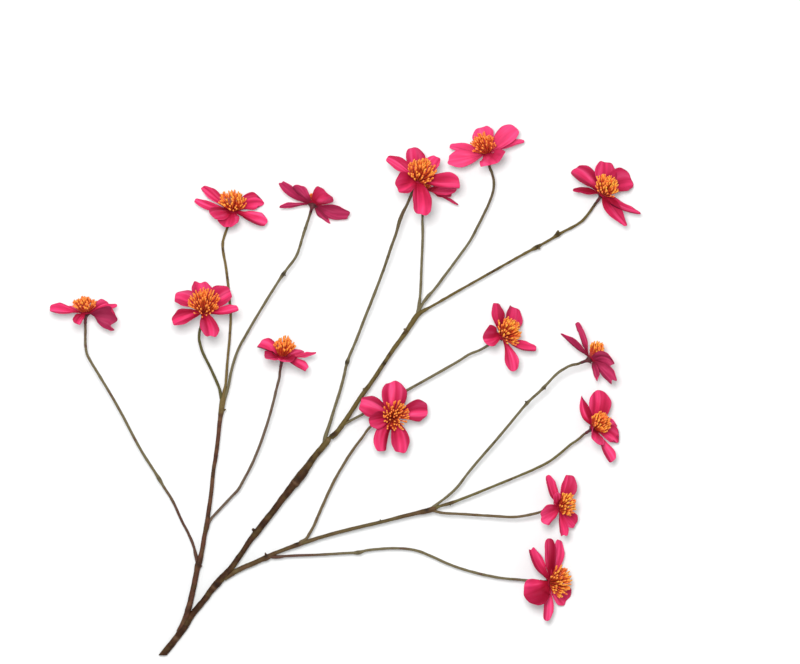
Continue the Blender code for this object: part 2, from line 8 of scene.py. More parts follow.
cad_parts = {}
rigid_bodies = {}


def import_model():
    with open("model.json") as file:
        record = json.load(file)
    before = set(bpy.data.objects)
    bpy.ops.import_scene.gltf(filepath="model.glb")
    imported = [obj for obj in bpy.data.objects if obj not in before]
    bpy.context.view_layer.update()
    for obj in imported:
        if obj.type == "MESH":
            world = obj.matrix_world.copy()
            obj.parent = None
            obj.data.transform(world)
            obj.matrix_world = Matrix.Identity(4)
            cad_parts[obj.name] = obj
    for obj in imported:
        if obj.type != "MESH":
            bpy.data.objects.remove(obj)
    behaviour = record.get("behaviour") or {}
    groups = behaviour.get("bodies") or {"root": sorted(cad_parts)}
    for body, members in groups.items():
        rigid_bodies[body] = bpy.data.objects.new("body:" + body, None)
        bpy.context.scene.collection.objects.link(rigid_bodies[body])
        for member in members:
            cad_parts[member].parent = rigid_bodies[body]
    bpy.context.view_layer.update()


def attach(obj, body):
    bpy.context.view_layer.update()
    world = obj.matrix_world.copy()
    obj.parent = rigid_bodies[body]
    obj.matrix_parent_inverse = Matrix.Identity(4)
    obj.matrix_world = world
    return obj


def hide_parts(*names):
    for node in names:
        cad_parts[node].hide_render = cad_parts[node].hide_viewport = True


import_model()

# ------------------------------------------------------------
# The stems.  Each is a wire coated in brown plastic and moulded with knots, collars and buds.
# Twelve thin stalks are pushed into the two branches and the main stem, and every stalk ends
# in the sleeve of one flower head.
# ------------------------------------------------------------
MM = 0.001
MIDDLE = Vector((0.226, 1.03, 0.0))     # the frame's origin in the numbers below
STALK_REACH = 9.9                       # from a flower's centre back to the tip of its stalk
NECK = 2.5                              # the straight end of a stalk
CUT_Y = -228.3                          # where the main stem is cut across

# Where each flower's centre is, the heading and rise of its axis, and its stalk's heading.
HEADS = {
    1: ((-223.5, 67.5, 21.35), 90, 12, 90), 2: ((-97.5, 156, 8.3), 80, 35, 71),
    3: ((-28, 161.3, 14.4), 73, -30, 75), 4: ((-121, 69, 30.6), 85, 50, 77),
    5: ((-54, 29.7, 22.6), 82, 10, 80), 6: ((62.4, 181, 35.4), 68, 45, 64),
    7: ((121.7, 204.3, 16.75), 105, 18, 103), 8: ((221.5, 170, 13.7), 52, 38, 54),
    9: ((134.6, 47.7, 20.4), 32, 38, 34), 10: ((211, 28, 22.3), 45, -12, 20),
    11: ((213.7, -31.4, 17.1), 33, 35, 35), 12: ((183.6, -99.3, 22.1), 10, 28, 14),
    13: ((176, -164.7, 14.2), 0, 28, -6), 14: ((41, -22, 24.95), 40, 78, 40),
    15: ((68.4, 173.3, 14.4), 88, 10, 85),
}


def axis_of(heading, rise):
    h, r = math.radians(heading), math.radians(rise)
    return Vector((math.cos(r) * math.cos(h), math.cos(r) * math.sin(h), math.sin(r)))


def flower_centre(number):
    return Vector(HEADS[number][0]) - MIDDLE


def stalk_axis(number):
    return axis_of(HEADS[number][3], HEADS[number][2])


def on_surface(x, y):
    """A place on the surface that the spray lies on, in the frame's own numbers."""
    return Vector((x, y, 0)) - MIDDLE


def placed(spot, axis):
    """The move that takes a pattern from the origin to a spot, with its Z axis along an axis."""
    return Matrix.Translation(spot * MM) @ axis.to_track_quat('Z', 'Y').to_matrix().to_4x4()


def nothing_selected():
    for item in bpy.context.selected_objects:
        item.select_set(False)


def only(item):
    nothing_selected()
    item.select_set(True)
    bpy.context.view_layer.objects.active = item


def apply_all(item):
    only(item)
    for step in list(item.modifiers):
        bpy.ops.object.modifier_apply(modifier=step.name)


def settled(item):
    """Moves an object's place into its mesh, so that the object sits at the origin."""
    bpy.context.view_layer.update()
    item.data.transform(item.matrix_world)
    item.matrix_world = Matrix.Identity(4)


def own_copy(pattern):
    """A copy of a modelled pattern, with its own mesh."""
    item = pattern.copy()
    item.data = pattern.data.copy()
    bpy.context.scene.collection.objects.link(item)
    return item


def merged(parts, name):
    """Joins parts into the first one and names it."""
    nothing_selected()
    for part in parts:
        part.select_set(True)
    bpy.context.view_layer.objects.active = parts[0]
    bpy.ops.object.join()
    parts[0].name = parts[0].data.name = name
    return parts[0]


def float_layer(mesh, name, values):
    layer = mesh.attributes.get(name) or mesh.attributes.new(name, 'FLOAT', 'POINT')
    layer.data.foreach_set("value", values)


def part_of_spray(piece, node):
    settled(piece)
    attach(piece, "root")
    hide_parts(node)


def new_material(name):
    material = bpy.data.materials.new(name)
    material.use_nodes = True
    return material, material.node_tree, material.node_tree.nodes['Principled BSDF']


def bumped(tree, shader, height, strength, distance):
    """Roughens a material by a height that varies over it, up to a distance in millimetres."""
    bump = tree.nodes.new('ShaderNodeBump')
    bump.inputs['Strength'].default_value = strength
    bump.inputs['Distance'].default_value = distance * MM
    tree.links.new(height, bump.inputs['Height'])
    tree.links.new(bump.outputs['Normal'], shader.inputs['Normal'])


COLOUR, NUMBER = 'NodeSocketColor', 'NodeSocketFloat'


def new_group(name, inputs, outputs):
    """A shader node group with its sockets, and its input and output nodes."""
    group = bpy.data.node_groups.new(name, 'ShaderNodeTree')
    for socket, kind, value in inputs:
        made = group.interface.new_socket(socket, in_out='INPUT', socket_type=kind)
        made.default_value = value
    for socket, kind in outputs:
        group.interface.new_socket(socket, in_out='OUTPUT', socket_type=kind)
    return group, group.nodes.new('NodeGroupInput'), group.nodes.new('NodeGroupOutput')


def feed(tree, sockets, given):
    """Gives each socket a link, if another node's socket is given for it, or else a value."""
    for socket, value in zip(sockets, given):
        if isinstance(value, bpy.types.NodeSocket):
            tree.links.new(value, socket)
        else:
            socket.default_value = value


def blend_colours(tree, factor, first, second):
    mix = tree.nodes.new('ShaderNodeMix')
    mix.data_type = 'RGBA'
    feed(tree, (mix.inputs[0], mix.inputs[6], mix.inputs[7]), (factor, first, second))
    return mix.outputs[2]


def maths(tree, kind, *given):
    node = tree.nodes.new('ShaderNodeMath')
    node.operation = kind
    feed(tree, node.inputs, given)
    return node.outputs[0]


def spread(tree, value, low, high):
    """A value stretched so that low becomes 0 and high becomes 1."""
    node = tree.nodes.new('ShaderNodeMapRange')
    node.clamp = True
    feed(tree, node.inputs, (value, low, high))
    return node.outputs[0]


def mottle(tree, coordinates, scale, detail=3.0):
    node = tree.nodes.new('ShaderNodeTexNoise')
    node.inputs['Scale'].default_value = scale
    node.inputs['Detail'].default_value = detail
    node.inputs['Roughness'].default_value = 0.55
    tree.links.new(coordinates, node.inputs['Vector'])
    return node.outputs['Fac']


def layer_value(tree, name):
    node = tree.nodes.new('ShaderNodeAttribute')
    node.attribute_name = name
    return node.outputs['Fac']


def place_on(tree):
    return tree.nodes.new('ShaderNodeTexCoord').outputs['Object']


# Bark: two browns in patches, olive over part of it, nearly black at collars and buds, and pale
# at a scar.  The mesh says where: 'olive', 'collar' and 'scar'.
bark, given, result = new_group('painted_bark', (
    ('Brown', COLOUR, (0.05, 0.02, 0.01, 1)), ('Patch', COLOUR, (0.1, 0.04, 0.03, 1)),
    ('Olive', COLOUR, (0.12, 0.09, 0.03, 1)), ('Dark', COLOUR, (0.008, 0.004, 0.003, 1)),
    ('Scar', COLOUR, (0.20, 0.12, 0.07, 1)), ('Olive Share', NUMBER, 0.5)),
    (('Colour', COLOUR), ('Roughness', NUMBER), ('Height', NUMBER)))
where = place_on(bark)
patches = spread(bark, mottle(bark, where, 150), 0.40, 0.64)
blotches = spread(bark, mottle(bark, where, 110, 2), 0.50, 0.7)
growth = spread(bark, mottle(bark, where, 150, 2), 0.28, 0.45)
olive = maths(bark, 'MAXIMUM', maths(bark, 'MULTIPLY', blotches, given.outputs['Olive Share']),
              maths(bark, 'MULTIPLY', layer_value(bark, 'olive'), growth))
specks = mottle(bark, where, 900, 2)
colour = blend_colours(bark, patches, given.outputs['Brown'], given.outputs['Patch'])
colour = blend_colours(bark, olive, colour, given.outputs['Olive'])
colour = blend_colours(bark, layer_value(bark, 'collar'), colour, given.outputs['Dark'])
colour = blend_colours(bark, layer_value(bark, 'scar'), colour, given.outputs['Scar'])
colour = blend_colours(bark, spread(bark, specks, 0.6, 0.75), colour, given.outputs['Patch'])
bark.links.new(colour, result.inputs['Colour'])
roughness = maths(bark, 'ADD', maths(bark, 'MULTIPLY', specks, 0.3), 0.42)
height = maths(bark, 'ADD', maths(bark, 'MULTIPLY', patches, 0.6), specks)
bark.links.new(roughness, result.inputs['Roughness'])
bark.links.new(height, result.inputs['Height'])


def plastic_bark(name, brown, patch, olive, share):
    """One of the stems' coatings: moulded plastic painted as bark."""
    material, tree, shader = new_material(name)
    paint = tree.nodes.new('ShaderNodeGroup')
    paint.node_tree = bark
    for socket, colour in (('Brown', brown), ('Patch', patch), ('Olive', olive)):
        paint.inputs[socket].default_value = (*colour, 1)
    paint.inputs['Olive Share'].default_value = share
    tree.links.new(paint.outputs['Colour'], shader.inputs['Base Color'])
    tree.links.new(paint.outputs['Roughness'], shader.inputs['Roughness'])
    shader.inputs['Specular IOR Level'].default_value = 0.1
    bumped(tree, shader, paint.outputs['Height'], 0.6, 0.3)
    return material


trunk_bark = plastic_bark('trunk_bark', (0.030, 0.011, 0.004), (0.066, 0.028, 0.011),
                          (0.112, 0.080, 0.024), 0.5)
red_bark = plastic_bark('red_bark', (0.046, 0.019, 0.010), (0.100, 0.039, 0.022),
                        (0.150, 0.105, 0.036), 0.3)
branch_bark = plastic_bark('branch_bark', (0.075, 0.042, 0.016), (0.105, 0.056, 0.028),
                           (0.122, 0.102, 0.038), 0.5)
stalk_bark = plastic_bark('stalk_bark', (0.082, 0.062, 0.029), (0.078, 0.043, 0.024),
                          (0.138, 0.116, 0.060), 0.6)
olive_bark = plastic_bark('olive_bark', (0.055, 0.052, 0.018), (0.048, 0.036, 0.014),
                          (0.090, 0.079, 0.028), 0.8)
brown_bark = plastic_bark('brown_bark', (0.095, 0.052, 0.028), (0.080, 0.036, 0.020),
                          (0.130, 0.092, 0.046), 0.4)
reddish_bark = plastic_bark('reddish_bark', (0.098, 0.048, 0.032), (0.076, 0.034, 0.022),
                            (0.138, 0.114, 0.058), 0.1)
maroon_bark = plastic_bark('maroon_bark', (0.080, 0.030, 0.020), (0.056, 0.017, 0.015),
                           (0.122, 0.084, 0.056), 0.2)
core = plastic_bark('cut_core', (0.20, 0.12, 0.06), (0.12, 0.07, 0.035), (0.2, 0.15, 0.08), 0.2)

# Each stem: x, y and radius from its thick end, the radius being wire where none is given.  rise
# lifts it between its two ends; dark and pale give the places of bands, buds the place, heading
# and size of each moulded bud, green the two values of y between which the coating turns olive,
# brown the length that stays brown, and dusk the length over which it turns brown again before
# the flower.
STEMS = {
    "main_stem": dict(head=8, wire=1.07, base=2.75, rise=7, bark=trunk_bark, route=(
        (-158, -228, 3), (-146.3, -213.2, 2.9), (-140.2, -204.8, 3.1), (-133, -193.5, 2.7),
        (-121.9, -180, 2.65), (-116.9, -173, 2.75), (-113.9, -169.5, 3), (-110.9, -166, 3.15),
        (-107.9, -162.5, 3.1), (-101.9, -156.6, 2.95), (-97.2, -150.3, 2.5), (-86.8, -135.4, 2.3),
        (-82.2, -128.5, 2.4), (-76.9, -122, 2.9), (-70.5, -113.6, 2.9), (-62.4, -103.5, 2.75),
        (-54.8, -93.1, 2.9), (-46.6, -82.8, 3.25), (-43.5, -78.9, 3.8), (-37.7, -71.7, 3.85),
        (-32.4, -64.4, 3.1), (-27.5, -57.3, 2.6), (-17.2, -44.8, 2.75), (-15, -41.8, 2.7),
        (-13.3, -40, 1.6), (-12, -39.2, 2.5), (-8, -35.7, 2.3), (-2.2, -28, 2), (5.2, -17, 1.9),
        (13.3, -4.5, 1.9), (16.9, 0.4, 2), (23, 8.9, 1.7), (33.2, 24.2, 1.75), (41.8, 37.2, 1.75),
        (52.4, 51.7, 2), (57.6, 59.6, 2.2), (63, 66.7, 2.3), (67.7, 69.8, 1.5), (72.5, 72.4),
        (98.5, 87.3), (133, 106.8), (159, 121.3, 1.1), (164.5, 124.1, 1.9), (170, 127.2),
        (179, 132.3, 1.1), (183, 135, 2), (187, 137.2, 1.1), (203.5, 146.5), (207, 150)),
        green=(-74, -38),
        pale=((-147.8, -212.8), (-114.5, -169.8), (-44.8, -80.5), (-16.8, -42.2)),
        dark=((-111.5, -166.5), (-41, -75), (-12, -38), (183, 135.5), (165.5, 124.5), (33, 24.5)),
        buds=((-78.7, -120.3, 140, 1.8), (-71.4, -115.2, -50, 1.8), (16.3, 1.5, 145, 1),
              (51.5, 53, 145, 1), (166.5, 124, -50, 1), (183, 136.5, 75, 1.7), (-140, -203, 130, 1),
              (-29, -60, -45, 1))),
    "left_branch": dict(parent="main_stem", head=2, wire=1.1, rise=6, bark=red_bark, route=(
        (-144, -208.5, 2.7), (-139.2, -198.5, 2.7), (-136.4, -189.5, 2.6), (-134.1, -181, 2.5),
        (-132.1, -172.5, 2.45), (-128.7, -156, 2.35), (-127.7, -151, 2.9), (-126.2, -146, 2.7),
        (-124.6, -140, 2), (-121.6, -123.5, 2), (-120, -116.5, 2.35), (-118.7, -106, 1.85),
        (-116.2, -89, 1.7), (-114, -67.5, 1.65), (-112, -55.5, 1.8), (-109.9, -38.5, 1.75),
        (-108.5, -24.5, 1.9), (-107.3, -17, 2.4), (-106.3, -9, 2.6), (-105, -1.5, 1.6),
        (-103.6, 6.5), (-102.2, 25.5), (-100.3, 46), (-99.4, 65), (-100.4, 78.5), (-102.4, 97.5),
        (-104, 109.5), (-106, 120), (-106.5, 127.5), (-105, 134.5), (-103, 140)),
        green=(-21, -17),
        dark=((-127, -150),),
        pale=((-107.6, -22),),
        buds=((-126, -151, 0, 1.3), (-111.5, -56, 20, 1), (-104.7, -16, 10, 1),
              (-119, -116, -160, 1))),
    "right_branch": dict(parent="main_stem", head=11, wire=1.07, rise=4, brown=20, bark=branch_bark, route=(
        (-105, -162, 2.1), (-100.2, -158.6, 2.3), (-95, -155.6, 2.25), (-89.2, -152.6, 2.2),
        (-81.7, -149.5, 2.15), (-73.3, -145.6, 2.1), (-68.3, -143.6, 2.6), (-63, -140.6, 1.85),
        (-56.2, -137.9, 1.65), (-47.2, -134.5, 1.75), (-42.2, -132.7, 2.1), (-36.3, -130.7, 1.8),
        (-21.7, -126, 1.6), (4.2, -118.9, 1.55), (29.7, -112.9, 1.5), (60, -105.2, 1.7),
        (68.5, -103.4, 2.3), (74.5, -101.7, 2.4), (81.5, -98.9, 1.15), (89, -96.8, 1.5),
        (98.5, -93.4, 1.1), (133, -79.6, 1.1), (150, -72.6), (163, -67), (176, -60.3), (184.5, -54),
        (193, -46.8), (201.5, -40.8)),
        dark=((-68.5, -142.3), (70, -102), (-42, -131.5)),
        buds=((-69, -140.8, 110, 1), (90, -97, -80, 1), (30, -111.5, 100, 0.8))),
    "flower_stalk_01": dict(parent="left_branch", head=1, wire=1.14, brown=52, bark=reddish_bark, route=(
        (-127.7, -150, 1.5), (-129.5, -141.5, 1.5), (-131.2, -134.5), (-136.5, -121.5),
        (-140.5, -114), (-150, -93.5), (-157.5, -81.5), (-160.8, -75.7, 1.7), (-164, -70.5),
        (-176.5, -50.5), (-194.5, -16), (-211, 12.5), (-219.7, 27), (-222.3, 32.3), (-223.3, 38.3),
        (-223.6, 46)),
        buds=((-161.5, -75.5, 160, 1),)),
    "flower_stalk_03": dict(parent="left_branch", head=3, wire=1.12, route=(
        (-105.8, -11, 1.4), (-103.2, -2.2, 1.4), (-101, 5.5), (-99, 16), (-96, 27), (-91.5, 38.5),
        (-86.5, 47.5), (-73.5, 69.5), (-56.5, 96.5), (-53.4, 101, 1.7), (-50.5, 105), (-42.5, 116),
        (-39.5, 123.5), (-37, 132), (-34.4, 140, 1.3), (-32.8, 145)),
        dark=((-53.4, 101),),
        buds=((-52.6, 100.5, -30, 1), (-34.8, 140.5, 20, 1))),
    "flower_stalk_04": dict(parent="left_branch", head=4, wire=1.19, bark=olive_bark, route=(
        (-106.6, -11, 1.4), (-108, -2.2, 1.4), (-109.2, 3), (-112, 10), (-115, 17), (-119, 25.5),
        (-122.5, 33), (-125, 41), (-125.8, 47))),
    "flower_stalk_05": dict(parent="left_branch", head=5, wire=1.17, bark=maroon_bark, route=(
        (-119.7, -117.5, 1.2), (-116.5, -110.5), (-112, -105.5), (-99.5, -92), (-92.5, -84.5),
        (-88.5, -77.5), (-83, -67.5), (-78.5, -58), (-69, -33), (-61.5, -7.5), (-59, 3),
        (-56.8, 11.5))),
    "flower_stalk_06": dict(parent="main_stem", head=6, wire=1.22, dusk=90, route=(
        (-18.2, -44, 1.8), (-17.2, -38.3, 1.7), (-14.5, -30.5, 1.4), (-9, -12.5), (-4.8, 0.5),
        (-1.2, 14), (0.4, 21.5), (1.4, 25, 1.8), (3, 29.5), (9, 43.5), (15, 59), (26.5, 88),
        (34, 108), (38.5, 121.5), (43.5, 135.5), (47.5, 149, 1.6), (53, 160.5)),
        dark=((1, 25),),
        buds=((1.2, 25.8, 170, 1),)),
    "flower_stalk_15": dict(parent="main_stem", head=15, wire=1.1, route=(
        (62, 66.5, 1.5), (63.5, 75.5, 1.4), (64.3, 83), (65.5, 109), (66.5, 137), (66.3, 149))),
    "flower_stalk_07": dict(parent="main_stem", head=7, wire=1.12, dusk=75, route=(
        (62, 67.5, 1.4), (66, 74.8, 1.15), (70.5, 81.3, 1.5), (76, 87.3), (85.5, 99.8),
        (98.5, 117.3), (107, 129.3), (114, 142.3), (119, 152.3), (124.3, 163.8), (127.3, 173.3),
        (127.7, 180.8), (126.3, 187.8))),
    "flower_stalk_09": dict(parent="main_stem", head=9, wire=1.12, route=(
        (-3, -29.5, 1.15), (3, -26, 1.15), (15, -19.7), (42.5, -4.9), (64, 7.1), (98.5, 26.8),
        (107, 32.1), (115.5, 35.5), (122, 39.2))),
    "flower_stalk_13": dict(parent="right_branch", head=13, wire=1.1, brown=34, bark=reddish_bark, route=(
        (-67.5, -142.2, 1.6), (-60.5, -143.1, 1.6), (-52, -142.3), (-22, -141.1), (5.5, -139.5),
        (11, -139.3, 1.7), (17.5, -137.5), (29.5, -136.1), (42.5, -135.6), (55.5, -136.4),
        (64, -138.4), (72.5, -141.8), (90, -149.6), (101, -153.5), (111.5, -156.5), (124.5, -159.5),
        (137, -161.6), (150, -162.6), (158.5, -163.4)),
        buds=((11, -139.4, -80, 1),)),
    "flower_stalk_14": dict(parent="right_branch", head=14, wire=1.2, bark=brown_bark, route=(
        (-39.5, -130.5, 1.5), (-34, -127.2), (-31.3, -123), (-27.4, -116), (-22.9, -105.5),
        (-9.2, -76), (-3.9, -66.7), (5.6, -51.5, 1.15), (14.2, -40, 1.1), (21.5, -30.5, 1.07),
        (28, -26.5, 1.07), (33.5, -25, 1.07))),
    "flower_stalk_10": dict(parent="right_branch", head=10, wire=1.12, route=(
        (74, -101, 1.4), (81.5, -95.3, 1.15), (88, -90.3), (96, -82.8), (105.5, -70.3), (133, -37.8),
        (150, -17.1), (154, -12.3), (156.2, -9.8, 1.6), (159, -7), (167.5, 0.7), (170, 3.2, 1.6),
        (173, 6.4), (182, 15.7), (187, 19.1), (194.5, 22.8)),
        buds=((155.4, -9, 150, 1), (170.8, 3, -40, 1))),
    "flower_stalk_12": dict(parent="right_branch", head=12, wire=1.11, bark=brown_bark, route=(
        (73.5, -102, 1.4), (81.5, -104.4, 1.14), (98.5, -105.6), (133, -107.7), (143, -108.2),
        (152, -107.4), (160.5, -105.7), (166, -104.4))),
}


def lengths_to(points):
    """The length along a line from its first point to each of its points."""
    lengths = [0.0]
    for here, after in zip(points, points[1:]):
        lengths.append(lengths[-1] + (after - here).length)
    return lengths


def nearest(points, spot):
    """Which of some points is nearest to a spot, seen from above."""
    return min(range(len(points)), key=lambda k: (points[k].xy - spot.xy).length)


def stem_line(stem):
    """A stem's centre points and radii, with its height eased from its parent's to its head's."""
    centre, along = flower_centre(stem["head"]), stalk_axis(stem["head"])
    end = centre - along * STALK_REACH
    neck = end - along * NECK
    route = [(*point, stem["wire"])[:3] for point in stem["route"]]
    flat = [on_surface(x, y) for x, y, radius in route] + [Vector((neck.x, neck.y, 0))]
    radii = [radius for x, y, radius in route]
    if "parent" in stem:
        parent = stem_line(STEMS[stem["parent"]])[0]
        base = parent[nearest(parent, flat[0])].z
    else:
        base = stem["base"]
    lengths = lengths_to(flat)
    points = []
    for spot, length in zip(flat, lengths):
        share = length / lengths[-1]
        height = base + (neck.z - base) * share * share * (3 - 2 * share)
        height += stem.get("rise", 0) * math.sin(math.pi * share)
        points.append(Vector((spot.x, spot.y, height)))
    return points + [end], radii + [radii[-1]] * 2


# A bud is modelled once: a small ball drawn out to a blunt point.
bpy.ops.mesh.primitive_uv_sphere_add(segments=12, ring_count=8, radius=MM, location=(0, 0, 0))
bud_pattern = bpy.context.object
bpy.ops.object.mode_set(mode='EDIT')
bpy.ops.mesh.select_all(action='DESELECT')
bpy.ops.object.mode_set(mode='OBJECT')
for vert in bud_pattern.data.vertices:
    vert.select = vert.co.z > 0.3 * MM
bpy.ops.object.mode_set(mode='EDIT')
bpy.ops.transform.resize(value=(0.7, 0.7, 1.0), center_override=(0, 0, 0))
bpy.ops.transform.translate(value=(0, 0, 0.5 * MM))
bpy.ops.object.mode_set(mode='OBJECT')

# How strongly each mark shows on a coating, and how far it reaches.
COLLAR_DARK, COLLAR_REACH = 0.85, 2.2
BUD_DARK, BUD_REACH = 0.4, 1.7
SCAR_PALE, SCAR_REACH = 0.35, 1.1
NEVER_OLIVE, OLIVE_FADE = 1.75, 0.5      # a radius, and how much thinner a stem is olive all over
BROWN_FADE = 25                          # the length over which brown gives way to olive
DUSK = 12                                # and, on most stems, over which olive ends by the flower
FAR = 999.0                              # further off than anything on the spray
BUD_RISE = 20                            # degrees that a bud points up

bark_lumps = bpy.data.textures.new('bark_lumps', 'CLOUDS')
bark_lumps.noise_scale = 5 * MM
bark_lumps.noise_depth = 2


def wire_stem(name, stem):
    """A stem drawn as a curve of changing thickness, then roughened, with its buds on it."""
    points, radii = stem_line(stem)
    nothing_selected()
    bpy.ops.curve.primitive_bezier_curve_add(location=(0, 0, 0))
    wire = bpy.context.object
    spline = wire.data.splines[0]
    spline.bezier_points.add(len(points) - 2)
    spline.radius_interpolation = 'EASE'
    for knot, point, radius in zip(spline.bezier_points, points, radii):
        knot.handle_left_type = knot.handle_right_type = 'AUTO'
        knot.co, knot.radius = point * MM, radius
    wire.data.bevel_depth = MM
    wire.data.bevel_resolution = 4
    wire.data.resolution_u = 7
    wire.data.use_fill_caps = True
    bpy.ops.object.convert(target='MESH')
    wire = bpy.context.object
    bpy.ops.object.mode_set(mode='EDIT')
    bpy.ops.mesh.select_all(action='SELECT')
    bpy.ops.mesh.remove_doubles(threshold=0.01 * MM)       # joins the caps to the rims
    bpy.ops.mesh.select_all(action='DESELECT')
    bpy.ops.object.mode_set(mode='OBJECT')

    lumps = wire.modifiers.new("lumps", 'DISPLACE')
    lumps.texture = bark_lumps
    lumps.texture_coords = 'LOCAL'
    lumps.strength = (0.7 if name == "main_stem" else 0.45) * MM
    lumps.mid_level = 0.4
    apply_all(wire)

    parts = [wire]
    for x, y, heading, size in stem.get("buds", ()):
        spot = on_surface(x, y)
        spot.z = points[nearest(points, spot)].z
        bud = own_copy(bud_pattern)
        bud.data.transform(placed(spot, axis_of(heading, BUD_RISE))
                           @ Matrix.Diagonal((size, size, size * 1.15, 1)))
        parts.append(bud)
    piece = merged(parts, "coated_" + name)
    for vert in piece.data.vertices:
        vert.co.z = max(vert.co.z, 0.03 * MM)      # the coating lies on the surface, not in it
    return piece, points, radii


def faded(distances, reach):
    """1 at the nearest of some marks, falling to 0 beyond their reach, and 0 with no mark."""
    return math.exp(-(min(distances, default=FAR) / reach) ** 2)


def paint_layers(piece, name, stem, points, radii):
    """Where a stem's coating is olive, dark and pale, and what it is painted with."""
    lengths = lengths_to(points)
    start, full = stem.get("green", (FAR, FAR + 1))
    dark = [on_surface(x, y) for x, y in stem.get("dark", ())]
    buds = [on_surface(x, y) for x, y, heading, size in stem.get("buds", ())]
    scars = [lengths[nearest(points, on_surface(x, y))] for x, y in stem.get("pale", ())]
    olive, collar, scar = [], [], []
    for vert in piece.data.vertices:
        spot = vert.co / MM
        near = min(range(len(points)), key=lambda k: (points[k] - spot).length_squared)
        ahead = points[min(near + 1, len(points) - 1)] - points[max(near - 1, 0)]
        length = lengths[near] + (spot - points[near]).dot(ahead.normalized())
        above = (spot.y + MIDDLE.y - start) / (full - start)
        thin = 1.0 if 'stalk' in name else (NEVER_OLIVE - radii[near]) / OLIVE_FADE
        past_brown = max(0.0, (length - stem.get("brown", -FAR)) / BROWN_FADE)
        before_dusk = max(0.0, (lengths[-1] - length) / stem.get("dusk", DUSK))
        olive.append(min(1.0, max(0.0, thin, above)) * min(1.0, past_brown, before_dusk))
        by_dark = COLLAR_DARK * faded([(mark.xy - spot.xy).length for mark in dark], COLLAR_REACH)
        by_bud = BUD_DARK * faded([(mark.xy - spot.xy).length for mark in buds], BUD_REACH)
        collar.append(max(by_dark, by_bud))
        scar.append(SCAR_PALE * faded([abs(length - mark) for mark in scars], SCAR_REACH))
    float_layer(piece.data, 'olive', olive)
    float_layer(piece.data, 'collar', collar)
    float_layer(piece.data, 'scar', scar)
    piece.data.materials.clear()
    piece.data.materials.append(stem.get("bark", stalk_bark))


def cut_across(piece, foot, ahead):
    """The cut end slopes across the stem, and the coating stands as a rim round a paler core."""
    piece.data.materials.append(core)
    along = (ahead - foot).normalized()
    rim = [vert for vert in piece.data.vertices if (vert.co - foot).dot(along) < MM]
    for vert in rim:
        vert.co += along * (((CUT_Y - MIDDLE.y) * MM - vert.co.y) / along.y)
    rim = {vert.index for vert in rim}
    for face in piece.data.polygons:
        face.select = rim.issuperset(face.vertices)
    bpy.ops.object.mode_set(mode='EDIT')
    bpy.ops.mesh.select_mode(type='FACE')
    bpy.ops.mesh.inset(thickness=0.7 * MM, depth=0)
    bpy.ops.mesh.inset(thickness=0.15 * MM, depth=-0.25 * MM)
    bpy.ops.object.mode_set(mode='OBJECT')
    for face in piece.data.polygons:
        if face.select:
            face.material_index = 1


for name, stem in STEMS.items():
    piece, points, radii = wire_stem(name, stem)
    paint_layers(piece, name, stem, points, radii)
    only(piece)
    bpy.ops.object.shade_smooth()
    if name == "main_stem":
        cut_across(piece, points[0] * MM, points[1] * MM)
    part_of_spray(piece, name)
bpy.data.objects.remove(bud_pattern)

# ------------------------------------------------------------
# The calyces.  Each is one moulding in dark maroon plastic: a sleeve pushed over the tip of the
# stalk, a cup that the petals sit in, and a ring of small pointed sepals under them.
# ------------------------------------------------------------


def turned(sides, profile):
    """A closed piece turned about its axis: a short cylinder between the first two levels of a
    profile, drawn up through the others.  A level is a radius and a height."""
    (reached, foot), (_, level) = profile[:2]
    bpy.ops.object.select_all(action='DESELECT')
    bpy.ops.mesh.primitive_cylinder_add(
        vertices=sides, radius=reached * MM, depth=(level - foot) * MM,
        location=(0, 0, (foot + level) / 2 * MM), end_fill_type='NGON')
    piece = bpy.context.object
    for face in piece.data.polygons:
        face.select = face.normal.z > 0.9
    bpy.ops.object.mode_set(mode='EDIT')
    bpy.ops.mesh.select_mode(type='FACE')
    for radius, height in profile[2:]:
        rise = (0, 0, (height - level) * MM)
        bpy.ops.mesh.extrude_region_move(TRANSFORM_OT_translate={"value": rise})
        bpy.ops.transform.resize(value=(radius / reached, radius / reached, 1),
                                 center_override=(0, 0, height * MM))
        reached, level = radius, height
    bpy.ops.object.mode_set(mode='OBJECT')
    settled(piece)
    return piece


calyx_pattern = turned(20, ((1.25, -9.6), (1.25, -8.8), (1.35, -8.4), (1.3, -6.5), (1.35, -5.2),
                            (1.5, -4.1), (1.8, -3.3), (2.3, -2.5), (2.8, -1.9), (3.2, -1.3)))

SEPALS = 8
bpy.ops.object.select_all(action='DESELECT')
bpy.ops.mesh.primitive_grid_add(x_subdivisions=4, y_subdivisions=8, size=1, location=(0, 0, 0))
sepal_pattern = bpy.context.object
for vert in sepal_pattern.data.vertices:
    side, along = 2 * vert.co.x, vert.co.y + 0.5
    half = math.cos(math.pi / 2 * along ** 1.6) + 0.06
    out = 2.2 + 2.0 * along
    height = -2.1 + 0.9 * along + 0.35 * side * side - 0.4 * along ** 3
    vert.co = Vector((side * half, out, height)) * MM
thick = sepal_pattern.modifiers.new("thick", 'SOLIDIFY')
thick.thickness, thick.offset = 0.35 * MM, 0
apply_all(sepal_pattern)
parts = [calyx_pattern]
for k in range(SEPALS):
    sepal = own_copy(sepal_pattern)
    sepal.data.transform(Matrix.Rotation(2 * math.pi * (k + 0.15 * (k % 2)) / SEPALS, 4, 'Z'))
    parts.append(sepal)
bpy.data.objects.remove(sepal_pattern)
calyx_pattern = merged(parts, "calyx_pattern")
bpy.ops.object.shade_smooth_by_angle(angle=math.radians(50))

